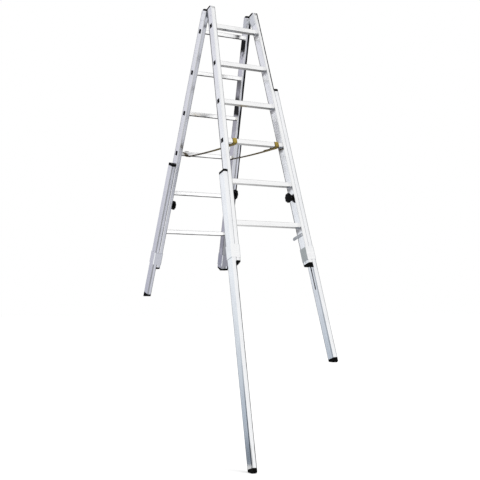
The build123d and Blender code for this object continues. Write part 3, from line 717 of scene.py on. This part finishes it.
def black_moulding(name, finish):
    """Black moulded plastic or rubber with a fine grain."""
    material, tree, shader = new_material(name, {"Specular IOR Level": finish["gloss"]})
    place = object_place(tree)
    grain = use_group(MOULDED_GRAIN, place, {"Grain Size": finish["grain_size"]})
    marks = use_group(HANDLING_MARKS, place, {"Scratch Scale": MOULDED_SCRATCH_SCALE})
    colour = mixed(weighted({**grain, **marks}, MOULDED_SHADE), finish["dark"], finish["light"])
    roughness = between(grain["Tone"], finish["smooth"], finish["rough"])
    coat(shader, colour, roughness, grain["Grain"], finish["relief"])
    return material


def strap_webbing(name):
    """Yellow woven webbing: darker selvedge, painted shade in the yarn gaps, deepening away from the front rung.
    """
    material, tree, shader = new_material(name, WEBBING_SHEEN)
    place = add_to(tree, "ShaderNodeUVMap", uv_map="webbing").outputs["UV"]
    weave = use_group(WEBBING_WEAVE, place)
    marks = use_group(HANDLING_MARKS, object_place(tree))
    # painted shade that deepens along the band
    run = span(coordinates(place)["X"], WEBBING_LIT_UP_TO, WEBBING_SHADED_FROM)
    band_shade = ramp(run, [(0.0, WHITE), (1.0, WEBBING_BAND_SHADE)])
    colour = mixed(marks["Clouds"], WEBBING_FRESH, WEBBING_HANDLED)
    colour = mixed(1.0, colour, band_shade, "MULTIPLY")
    colour = mixed(weave["Edge"], colour, WEBBING_EDGE)
    colour = mixed(weave["Gaps"], colour, WEBBING_GAP_SHADE)
    roughness = between(weave["Height"], WEBBING_ROUGH, WEBBING_SMOOTH)
    coat(shader, colour, roughness, weave["Height"], WEBBING_RELIEF)
    return material


def strap_thread(name):
    """Dark sewing thread, twisted."""
    material, tree, shader = new_material(name)
    twist = noise(object_place(tree), THREAD_TWIST_SCALE, detail=1.0)
    colour = mixed(twist, THREAD_LIGHT, THREAD_DARK)
    coat(shader, colour, span(twist, *THREAD_ROUGHNESS), twist, THREAD_RELIEF)
    return material


ZINC = worn_metal("plated_steel", ZINC_FINISH)
DULL_ZINC = worn_metal("dull_plated_steel", DULL_ZINC_FINISH)
RIVETS = worn_metal("rivet_metal", RIVET_FINISH)
BLACK_PLASTIC = black_moulding("black_plastic", PLASTIC_FINISH)
KNOB_PLASTIC = black_moulding("knob_plastic", KNOB_FINISH)
BLACK_RUBBER = black_moulding("black_rubber", RUBBER_FINISH)
WEBBING = strap_webbing("strap_webbing")
THREAD = strap_thread("strap_thread")


# Finishes of the solids

def box_middle(node):
    """The middle of a node's box."""
    low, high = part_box(node)
    return (Vector(low) + Vector(high)) / 2


def section_of(corner):
    """The section that a corner belongs to."""
    return corner.split("_")[0]


def corner_axes(corner):
    """Rows that turn the ladder's frame into a stile's own: outward, towards the hinge side, up along it."""
    up = -LEG_DOWN[corner]
    towards = 1.0 if corner.startswith("front") else -1.0
    inward = Vector((0.0, towards * cos(LEAN), -sin(LEAN)))
    outward = inward.cross(up).normalized()
    if outward.x * (1.0 if corner.endswith("right") else -1.0) < 0.0:
        outward.negate()
    return outward, inward, up


def corner_turn(corner):
    """A rotation for patterns that run along a stile, and whether its X is outward (1) or inward (-1)."""
    outward, inward, up = corner_axes(corner)
    sense = 1.0 if outward.cross(inward).dot(up) > 0.0 else -1.0
    return Matrix((outward * sense, inward, up)), sense


def corner_lines(edges, patches, sense, stretches):
    """The (values, strength) of a tube's painted shade along its edges and in patches, for the sense of its X.

    Stretches limit those of a whole side, or of one side and face.
    """
    sides = {"outer": sense * TUBE_WIDTH / 2, "middle": 0.0, "inner": -sense * TUBE_WIDTH / 2}
    faces = {"hinge": TUBE_DEPTH / 2, "middle": 0.0, "free": -TUBE_DEPTH / 2}
    found = []
    for (side, face), (reach, strength) in {**dict(zip(EDGES, edges)), **patches}.items():
        values = {"Across": sides[side], "Through": faces[face], "Reach": reach}
        values.update(stretches.get(side, {}))
        values.update(stretches.get((side, face), {}))
        found.append((values, strength))
    return found


def rung_level(corner, number, turn, middle):
    """How far up a stile, in its own coordinates, a rung passes through it."""
    place = turn @ (box_middle(f"{section_of(corner)}_rung_{number}") - middle)
    along = turn @ Vector((1.0, 0.0, 0.0))
    return place.z - place.x / along.x * along.z


def rung_shadows(corner, turn, sense, middle):
    """The values and the kind of the painted shadow below the rungs of a stile."""
    first = rung_level(corner, 1, turn, middle)
    last = rung_level(corner, RUNG_COUNT, turn, middle)
    kind = DEEP_RUNG_SHADOW if corner == "rear_right" else SOFT_RUNG_SHADOW
    values = {
        "Across": -sense * TUBE_WIDTH / 2,
        "First Rung": first,
        "Pitch": (first - last) / (RUNG_COUNT - 1),
        "Drop": kind["drop"],
        "Fade": kind["fade"],
    }
    return values, kind


def lowest_along(node, turn, middle):
    """How far up a stile's own axis, from a middle, a node starts."""
    return min((turn @ (vertex.co - middle)).z for vertex in nodes[node].data.vertices)


def section_turn(section):
    """A rotation for patterns on the rungs of a section, with Z along the rung."""
    lean = -LEAN if section == "front" else LEAN
    return Matrix.Rotation(radians(90.0), 3, "Y") @ Matrix.Rotation(-lean, 3, "X")


def dress(node, material):
    """A node shown with one material."""
    nodes[node].data.materials.clear()
    nodes[node].data.materials.append(material)


def stile_stretches(corner, turn, middle):
    """Where along a stile its painted shade lines run: above the leg on the outside, and the shade patch over one
    rung.
    """
    patch_start = rung_level(corner, SHADE_PATCH_RUNG, turn, middle) + RUNG_SIZE / 2 + SHADE_PATCH_LIFT
    shade_patch = {"Start": patch_start, "End": patch_start + SHADE_PATCH_LENGTH, "Ease": SHADE_PATCH_EASE, "Flatness": PATCH_FLATNESS}
    return {
        "outer": {"Start": LEG_LENGTH[section_of(corner)]},
        ("middle", "hinge"): SHADED_LOWER_END,
        ("inner", "middle"): shade_patch,
    }


def leg_stretches(corner, turn, middle):
    """Where along a leg its painted shade lines run: on the inside only where the stile leaves it bare."""
    bare_end = {"End": lowest_along(f"{corner}_stile", turn, middle)}
    stretches = {("inner", "free"): bare_end, ("outer", "middle"): SHADED_FOOT}
    if corner == "front_left":
        stretches[("outer", "free")] = {**SHADE_LINE_LENGTH, **INSET_SHADE_LINE}
    if corner == "front_right":
        stretches[("inner", "free")] = {**bare_end, **INSET_SHADE_LINE}
    if corner.startswith("front"):
        stretches[("inner", "hinge")] = bare_end
    return stretches


def dress_corner(corner):
    """Finishes of a stile, its leg and its fittings."""
    turn, sense = corner_turn(corner)
    outward, _, _ = corner_axes(corner)
    leg_middle = LEG_SOLE[corner]
    stile_middle = leg_middle - outward * (TUBE_WIDTH + SLIDE_GAP)
    side_shade, hinge_shade = COLLAR_SHADES[corner]
    stile_extents = stile_stretches(corner, turn, stile_middle)
    leg_extents = leg_stretches(corner, turn, leg_middle)
    stile = bright_aluminium(
        f"{corner}_stile_aluminium",
        STILE_FINISH,
        turn,
        stile_middle,
        corner_lines(STILE_EDGES[corner], STILE_PATCHES.get(corner, {}), sense, stile_extents),
        rung_shading=rung_shadows(corner, turn, sense, stile_middle),
    )
    leg = bright_aluminium(
        f"{corner}_leg_aluminium",
        LEG_FINISH,
        turn,
        leg_middle,
        corner_lines(LEG_EDGES[corner], LEG_PATCHES.get(corner, {}), sense, leg_extents),
    )
    collar = bright_aluminium(
        f"{corner}_collar_aluminium",
        {**COLLAR_FINISH, "hinge_face_shade": hinge_shade},
        turn,
        stile_middle,
        shaded_side=(-sense * (TUBE_WIDTH / 2 + COLLAR_WALL), side_shade),
    )
    finishes = {
        "stile": stile,
        "leg": leg,
        "collar": collar,
        "stile_foot": BLACK_RUBBER,
        "leg_foot": BLACK_RUBBER,
        "leg_cap": BLACK_PLASTIC,
        "clamp_knob": KNOB_PLASTIC,
        "clamp_bolt": ZINC,
        "hinge_plate": ZINC,
    }
    for piece, material in finishes.items():
        dress(f"{corner}_{piece}", material)


def dress_section(section):
    """Finishes of the rungs and the small pieces of a section."""
    middle = box_middle(f"{section}_rung_1")
    through, reach = RUNG_EDGE_SHADE[section]
    # painted shade along the rung's lower edge
    lower_edge_shade = ({"Across": -RUNG_SIZE / 2, "Through": through, "Reach": reach}, RUNG_EDGE_SHADE_STRENGTH)
    rung = bright_aluminium(
        f"{section}_rung_aluminium",
        RUNG_FINISH,
        section_turn(section),
        middle,
        [lower_edge_shade],
        pitch=RUNG_PITCH,
    )
    for number in range(1, RUNG_COUNT + 1):
        dress(f"{section}_rung_{number}", rung)
    dress(f"{section}_rung_plugs", BLACK_PLASTIC)
    dress(f"{section}_head_plugs", BLACK_PLASTIC)
    dress(f"{section}_rivets", RIVETS)
    dress(f"{section}_clamp_nuts", ZINC)


for corner in CORNERS:
    dress_corner(corner)
for section in SECTIONS:
    dress_section(section)
dress("hinge_pins", ZINC)
dress("folding_guide", DULL_ZINC)


# Geometry trees

FACING = "facing"


def new_object(name, data):
    """A new object in the scene."""
    thing = bpy.data.objects.new(name, data)
    bpy.context.scene.collection.objects.link(thing)
    return thing


def geometry_group(name, sizes, grow):
    """A geometry node group with named sizes, in which a function grows pieces on the mesh that comes in."""
    tree = bpy.data.node_groups.new(name, "GeometryNodeTree")
    tree.interface.new_socket("Geometry", in_out="INPUT", socket_type="NodeSocketGeometry")
    for label in sizes:
        tree.interface.new_socket(label, in_out="INPUT", socket_type="NodeSocketFloat")
    tree.interface.new_socket("Geometry", in_out="OUTPUT", socket_type="NodeSocketGeometry")
    result = grow(tree.nodes.new("NodeGroupInput").outputs)
    tree.links.new(result, tree.nodes.new("NodeGroupOutput").inputs["Geometry"])
    return tree


def stretched_ball(radius, height, segments, rings):
    """A ball of a radius across that reaches a height up and down."""
    unit = {"Segments": segments, "Rings": rings, "Radius": 1.0}
    ball = add_to(radius.id_data, "GeometryNodeMeshUVSphere", unit)
    size = fed("ShaderNodeCombineXYZ", {"X": radius, "Y": radius, "Z": height}).outputs["Vector"]
    shaped = fed("GeometryNodeTransform", {"Geometry": ball.outputs["Mesh"], "Scale": size})
    return shaped.outputs["Geometry"]


def stand_on_points(points, shape, direction, material):
    """A shape on each point, along its direction, as real geometry with a material."""
    turn = fed("FunctionNodeAlignRotationToVector", {"Vector": direction}, axis="Z")
    placing = {"Points": points, "Instance": shape, "Rotation": turn.outputs["Rotation"]}
    placed = fed("GeometryNodeInstanceOnPoints", placing)
    real = fed("GeometryNodeRealizeInstances", {"Geometry": placed.outputs["Instances"]})
    smooth = fed("GeometryNodeSetShadeSmooth", {"Geometry": real.outputs["Geometry"]})
    finishing = {"Geometry": smooth.outputs["Geometry"], "Material": material}
    return fed("GeometryNodeSetMaterial", finishing).outputs["Geometry"]


def domed_rivets(given):
    """Low domed rivet heads with their drawn stems, one on each point, standing along its facing."""
    head = stretched_ball(given["Head Radius"], given["Head Height"], RIVET_SEGMENTS, RIVET_RINGS)
    stem_height = product(given["Head Height"], RIVET_STEM_STAND)
    stem_sizes = {"Vertices": STEM_SIDES, "Radius": given["Stem Radius"], "Depth": stem_height}
    stem = fed("GeometryNodeMeshCylinder", stem_sizes).outputs["Mesh"]
    tree = given["Geometry"].id_data
    whole = tree.nodes.new("GeometryNodeJoinGeometry")
    for part in (stem, head):
        tree.links.new(part, whole.inputs["Geometry"])
    facing = add_to(tree, "GeometryNodeInputNamedAttribute", {"Name": FACING}, data_type="FLOAT_VECTOR")
    shape = whole.outputs["Geometry"]
    return stand_on_points(given["Geometry"], shape, facing.outputs["Attribute"], RIVETS)


def sewn_stitches(given):
    """Sewn stitches of one length along every line of a mesh."""
    line = fed("GeometryNodeMeshToCurve", {"Mesh": given["Geometry"]}).outputs["Curve"]
    steps = {"Curve": line, "Length": given["Stitch Pitch"]}
    places = fed("GeometryNodeCurveToPoints", steps, mode="LENGTH").outputs
    half = product(given["Stitch Length"], 0.5)
    stitch = stretched_ball(given["Thread Radius"], half, STITCH_SEGMENTS, STITCH_RINGS)
    return stand_on_points(places["Points"], stitch, places["Tangent"], THREAD)


def grown(name, seed_mesh, tree, values):
    """A plain mesh object that a geometry tree grows from a mesh of points or lines."""
    seed = new_object(f"{name}_seed", seed_mesh)
    modifier = seed.modifiers.new("grow", "NODES")
    modifier.node_group = tree
    sockets = {item.name: item.identifier for item in tree.interface.items_tree if item.in_out == "INPUT"}
    for label, value in values.items():
        modifier[sockets[label]] = value
    graph = bpy.context.evaluated_depsgraph_get()
    mesh = bpy.data.meshes.new_from_object(seed.evaluated_get(graph))
    seed.modifiers.remove(modifier)
    bpy.data.objects.remove(seed)
    mesh.name = name
    return new_object(name, mesh)


RIVET_HEADS = geometry_group("rivet_heads", RIVET_SIZES, domed_rivets)
STITCHES = geometry_group("strap_stitches", STITCH_SIZES, sewn_stitches)


# Rivet heads

def point_mesh(name, places):
    """A mesh of loose points, each with the direction that it faces."""
    mesh = bpy.data.meshes.new(name)
    mesh.from_pydata([point for point, _ in places], [], [])
    facing = mesh.attributes.new(FACING, "FLOAT_VECTOR", "POINT")
    for item, (_, direction) in zip(facing.data, places):
        item.vector = direction
    return mesh


def rivet_heads(name, places, body):
    """Rivet heads at (point, direction) places, which ride on one body."""
    heads = grown(name, point_mesh(name, places), RIVET_HEADS, RIVET_SIZES)
    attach(heads, body)


def leg_rivet_places(corner):
    """Where a leg's rivet heads sit: under its cap on the outside, over its foot on both sides."""
    outward, inward, up = corner_axes(corner)
    length = LEG_LENGTH[section_of(corner)]
    face = outward * TUBE_WIDTH / 2
    cap = LEG_SOLE[corner] + up * (length - LEG_CAP_HEIGHT - CAP_RIVET_DROP) + face
    foot = LEG_SOLE[corner] + up * (LEG_FOOT_DROP + FOOT_RIVET_LIFT) + face - inward * FOOT_RIVET_FORWARD
    inside = foot - outward * (TUBE_WIDTH + FLUSH_RIVET_HEIGHT - RIVET_SIZES["Head Height"])
    return [(cap, outward), (foot, outward), (inside, -outward)]


for corner in CORNERS:
    rivet_heads(f"{corner}_leg_rivets", leg_rivet_places(corner), f"{corner}_extension")


# Webbing straps

def rounded(points, radius):
    """A path in a plane with its inner corners turned into arcs."""
    path = [points[0]]
    for before, corner, after in zip(points, points[1:], points[2:]):
        start = (before - corner).normalized()
        end = (after - corner).normalized()
        half = start.angle(end) / 2
        reach = radius * cos(half) / sin(half)
        middle = corner + (start + end).normalized() * (radius / sin(half))
        first = corner + start * reach - middle
        last = corner + end * reach - middle
        for step in range(STRAP_BEND_STEPS + 1):
            spoke = first.lerp(last, step / STRAP_BEND_STEPS).normalized() * radius
            path.append(middle + spoke)
    return path + [points[-1]]


def rung_place(section):
    """The (y, z) middle of the rung that carries the straps."""
    return box_middle(f"{section}_rung_{STRAP_RUNG}").yz


def strap_levels():
    """Half the rung with its webbing, and how far under the rung's middle the band runs."""
    half = RUNG_SIZE / 2 + STRAP_CLEARANCE + STRAP_THICKNESS / 2
    return half, half * (cos(LEAN) + sin(LEAN))


def rung_corners():
    """Corners of the webbing's middle line round a rung, from the top one on the band's side."""
    half, _ = strap_levels()
    turn = Matrix.Rotation(-LEAN, 2)
    return [turn @ Vector(corner) * half for corner in ((1, 1), (-1, 1), (-1, -1), (1, -1))]


def loop_route():
    """The webbing's middle line, from the rung: from its lap's end, round the rung and out to the band."""
    _, drop = strap_levels()
    lap = Vector((STRAP_LOOP, STRAP_THICKNESS - drop))
    end = Vector((STRAP_LOOP + STRAP_OVERLAP, STRAP_THICKNESS - drop))
    band = Vector((STRAP_LOOP, -drop))
    lap_points = [end.lerp(lap, step / STRAP_LAP_STEPS) for step in range(STRAP_LAP_STEPS)]
    return lap_points + rounded([lap, *rung_corners(), band], STRAP_BEND)


def hook_route():
    """The webbing's middle line from the band, under a rung and up its far side, from the rung."""
    _, drop = strap_levels()
    _, top, low, near = rung_corners()
    return rounded([Vector((STRAP_LOOP, -drop)), near, low, top], STRAP_BEND)


def strap_route():
    """A strap's whole middle line in (y, z), from its lap to its hooked end, with a sag in its band."""
    front, rear = rung_place("front"), rung_place("rear")
    first = [front + point for point in loop_route()]
    last = [rear + Vector((-point.x, point.y)) for point in hook_route()]
    start, end = first[-1], last[0]
    band = []
    for step in range(1, STRAP_BAND_STEPS):
        share = step / STRAP_BAND_STEPS
        band.append(start.lerp(end, share) - Vector((0.0, STRAP_SAG * 4 * share * (1 - share))))
    return first + band + last


def webbing_mesh(name, route, left, right):
    """Webbing along a route, with thin rounded selvedges and a map in metres, and its length."""
    half = STRAP_THICKNESS / 2
    middle = left + (right - left) / 2
    section = [
        (left, 0.0),
        (left + SELVEDGE, half),
        (right - SELVEDGE, half),
        (right, 0.0),
        (right - SELVEDGE, -half),
        (left + SELVEDGE, -half),
    ]
    distances = [0.0]
    for before, after in zip(route, route[1:]):
        distances.append(distances[-1] + (after - before).length)
    mesh = bmesh.new()
    layer = mesh.loops.layers.uv.new("webbing")
    rings = []
    spots = {}
    for index, point in enumerate(route):
        along = route[min(index + 1, len(route) - 1)] - route[max(index - 1, 0)]
        normal = Vector((-along.y, along.x)).normalized()
        ring = [mesh.verts.new((x, *(point + normal * height))) for x, height in section]
        for vertex, (x, _) in zip(ring, section):
            spots[vertex] = (distances[index], x - middle)
        rings.append(ring)
    for first, second in zip(rings, rings[1:]):
        for place in range(len(section)):
            after = (place + 1) % len(section)
            mesh.faces.new((first[place], first[after], second[after], second[place]))
    mesh.faces.new(rings[0])
    mesh.faces.new(rings[-1])
    for face in mesh.faces:
        for loop in face.loops:
            loop[layer].uv = spots[loop.vert]
    bmesh.ops.recalc_face_normals(mesh, faces=mesh.faces)
    data = bpy.data.meshes.new(name)
    mesh.to_mesh(data)
    mesh.free()
    data.polygons.foreach_set("use_smooth", [True] * len(data.polygons))
    data.set_sharp_from_angle(angle=SHARP_EDGE)
    data.materials.append(WEBBING)
    return data, distances[-1]


def stitch_lines(name, left, right):
    """Lines of a boxed cross on the top of a strap's lap and under its band, each with points of its own."""
    _, drop = strap_levels()
    rung = rung_place("front")
    near = rung.x + STRAP_LOOP + STITCH_INSET
    far = rung.x + STRAP_LOOP + STRAP_OVERLAP - STITCH_INSET
    points = []
    for height in (STRAP_THICKNESS * 1.5, -STRAP_THICKNESS * 0.5):
        level = rung.y - drop + height
        corners = [(x, y, level) for x in (left + STITCH_INSET, right - STITCH_INSET) for y in (near, far)]
        for first, second in BOXED_CROSS:
            points += [corners[first], corners[second]]
    mesh = bpy.data.meshes.new(name)
    mesh.from_pydata(points, [(start, start + 1) for start in range(0, len(points), 2)], [])
    return mesh


def strap(side):
    """One webbing strap with its sewing, in place of its plain solid."""
    low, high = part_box(f"{side}_strap")
    data, length = webbing_mesh(f"{side}_webbing", strap_route(), low.x, high.x)
    webbing = new_object(f"{side}_webbing", data)
    name = f"{side}_stitching"
    sewing = grown(name, stitch_lines(name, low.x, high.x), STITCHES, STITCH_SIZES)
    for piece in (webbing, sewing):
        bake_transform(piece)
        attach(piece, "front_section")
    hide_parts(f"{side}_strap")


def strap_rivet_places():
    """Where rivet heads hold the hooked ends of both straps to the far side of the rear rung."""
    _, top, low, _ = rung_corners()
    rung = rung_place("rear")
    across = (top - low).normalized()
    outward = Vector((0.0, across.y, across.x))
    centre = (top + low) / 2
    places = []
    for side in SIDES:
        box_low, box_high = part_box(f"{side}_strap")
        for x in (box_low.x + STRAP_RIVET_INSET, box_high.x - STRAP_RIVET_INSET):
            spot = Vector((x, rung.x - centre.x, rung.y + centre.y))
            places.append((spot + outward * STRAP_THICKNESS / 2, outward))
    return places


for side in SIDES:
    strap(side)
rivet_heads("strap_rivets", strap_rivet_places(), "rear_section")


# Studio

def stage_sheet(name, width, height, material):
    """A level rectangle round the origin, for the studio."""
    half_width, half_height = width / 2, height / 2
    mesh = bpy.data.meshes.new(name)
    corners = [
        (-half_width, -half_height, 0.0),
        (half_width, -half_height, 0.0),
        (half_width, half_height, 0.0),
        (-half_width, half_height, 0.0),
    ]
    mesh.from_pydata(corners, [], [(0, 1, 2, 3)])
    mesh.materials.append(material)
    sheet = new_object(name, mesh)
    return sheet


def face_along(thing, direction):
    """Turns an object so that its Z points along a direction."""
    thing.rotation_mode = "QUATERNION"
    thing.rotation_quaternion = direction.to_track_quat("Z", "Y")


def bare_material(name):
    """A material with its tree and output, without a shader."""
    material, tree, shader = new_material(name)
    tree.nodes.remove(shader)
    return material, tree, tree.nodes["Material Output"].inputs["Surface"]


def studio_floor():
    """A level floor that takes the shadow, white to the camera and in reflections, grey to other light."""
    material, tree, surface = bare_material("studio_floor")
    path = add_to(tree, "ShaderNodeLightPath").outputs
    seen = math_node("ADD", path["Is Camera Ray"], path["Is Glossy Ray"], clamp=True)
    strength = product(seen, FLOOR_GLOW)
    glow = fed("ShaderNodeEmission", {"Color": opaque(WHITE), "Strength": strength})
    paint = fed("ShaderNodeBsdfDiffuse", {"Color": mixed(seen, FLOOR_BOUNCE, FLOOR_PAINT)})
    both = fed("ShaderNodeAddShader", {0: glow.outputs[0], 1: paint.outputs[0]})
    tree.links.new(both.outputs[0], surface)
    stage_sheet("studio_floor", FLOOR_SIZE, FLOOR_SIZE, material)


def graded(distance, size, stops):
    """The colour of (distance, colour) stops along a card, from its middle."""
    share = math_node("ADD", math_node("DIVIDE", distance, size), 0.5)
    return ramp(share, [(place / size + 0.5, colour) for place, colour in stops])


def studio_card(name, centre, towards, width, height, across, upward=None):
    """A glowing card that faces a point, shows only in reflections and is graded across or both ways."""
    material, tree, surface = bare_material(name)
    place = coordinates(object_place(tree))
    colour = graded(place["X"], width, across)
    if upward is not None:
        colour = mixed(1.0, colour, graded(place["Y"], height, upward), "MULTIPLY")
    glow = fed("ShaderNodeEmission", {"Color": colour, "Strength": 1.0})
    tree.links.new(glow.outputs[0], surface)
    card = stage_sheet(name, width, height, material)
    card.location = centre
    face_along(card, Vector(towards) - Vector(centre))
    card.visible_camera = False
    card.visible_diffuse = False
    card.visible_shadow = False
    card.visible_transmission = False


def aimed_light(name, kind, centre, direction, settings):
    """A light at a place that shines along a direction and doesn't show in reflections."""
    light = bpy.data.lights.new(name, kind)
    for label, value in settings.items():
        setattr(light, label, value)
    lamp = new_object(name, light)
    lamp.location = centre
    face_along(lamp, -direction)
    lamp.visible_glossy = False


def studio_world():
    """White to the camera and in reflections, and an even ambient light for the rest."""
    world = bpy.data.worlds.new("studio_world")
    bpy.context.scene.world = world
    world.use_nodes = True
    tree = world.node_tree
    path = add_to(tree, "ShaderNodeLightPath").outputs
    seen = math_node("ADD", path["Is Camera Ray"], path["Is Glossy Ray"])
    seen = math_node("ADD", seen, path["Is Transmission Ray"], clamp=True)
    strength = fed("ShaderNodeMapRange", {"Value": seen, "To Min": AMBIENT, "To Max": 1.0})
    background = tree.nodes["Background"]
    background.inputs["Color"].default_value = opaque(WHITE)
    tree.links.new(strength.outputs["Result"], background.inputs["Strength"])


def studio_camera(name):
    """The photograph's view."""
    level_ahead = Vector((sin(CAMERA_YAW), cos(CAMERA_YAW), 0.0))
    forward = level_ahead * cos(CAMERA_PITCH) + Vector((0.0, 0.0, sin(CAMERA_PITCH)))
    level = Vector((cos(CAMERA_YAW), -sin(CAMERA_YAW), 0.0))
    upright = level.cross(forward)
    right = level * cos(CAMERA_ROLL) + upright * sin(CAMERA_ROLL)
    up = upright * cos(CAMERA_ROLL) - level * sin(CAMERA_ROLL)
    data = bpy.data.cameras.new(name)
    data.sensor_width = SENSOR_WIDTH
    data.lens = FOCAL_PIXELS / FRAME_PIXELS * SENSOR_WIDTH
    camera = new_object(name, data)
    turn = Matrix((right, up, -forward)).transposed()
    camera.matrix_world = Matrix.Translation(HINGE + CAMERA_FROM_HINGE) @ turn.to_4x4()
    bpy.context.scene.camera = camera


studio_floor()
studio_world()
studio_camera("studio_camera")
aimed_light("front_softbox", "AREA", SOFTBOX_CENTRE, LADDER_MIDDLE - SOFTBOX_CENTRE, SOFTBOX)
aimed_light("overhead_sun", "SUN", Vector(), SUN_DIRECTION, SUN)
for name, (centre, towards, width, height) in CARDS.items():
    studio_card(name, centre, towards, width, height, CARD_ACROSS[name], CARD_UPWARD.get(name))

bpy.context.scene.view_settings.view_transform = "Standard"
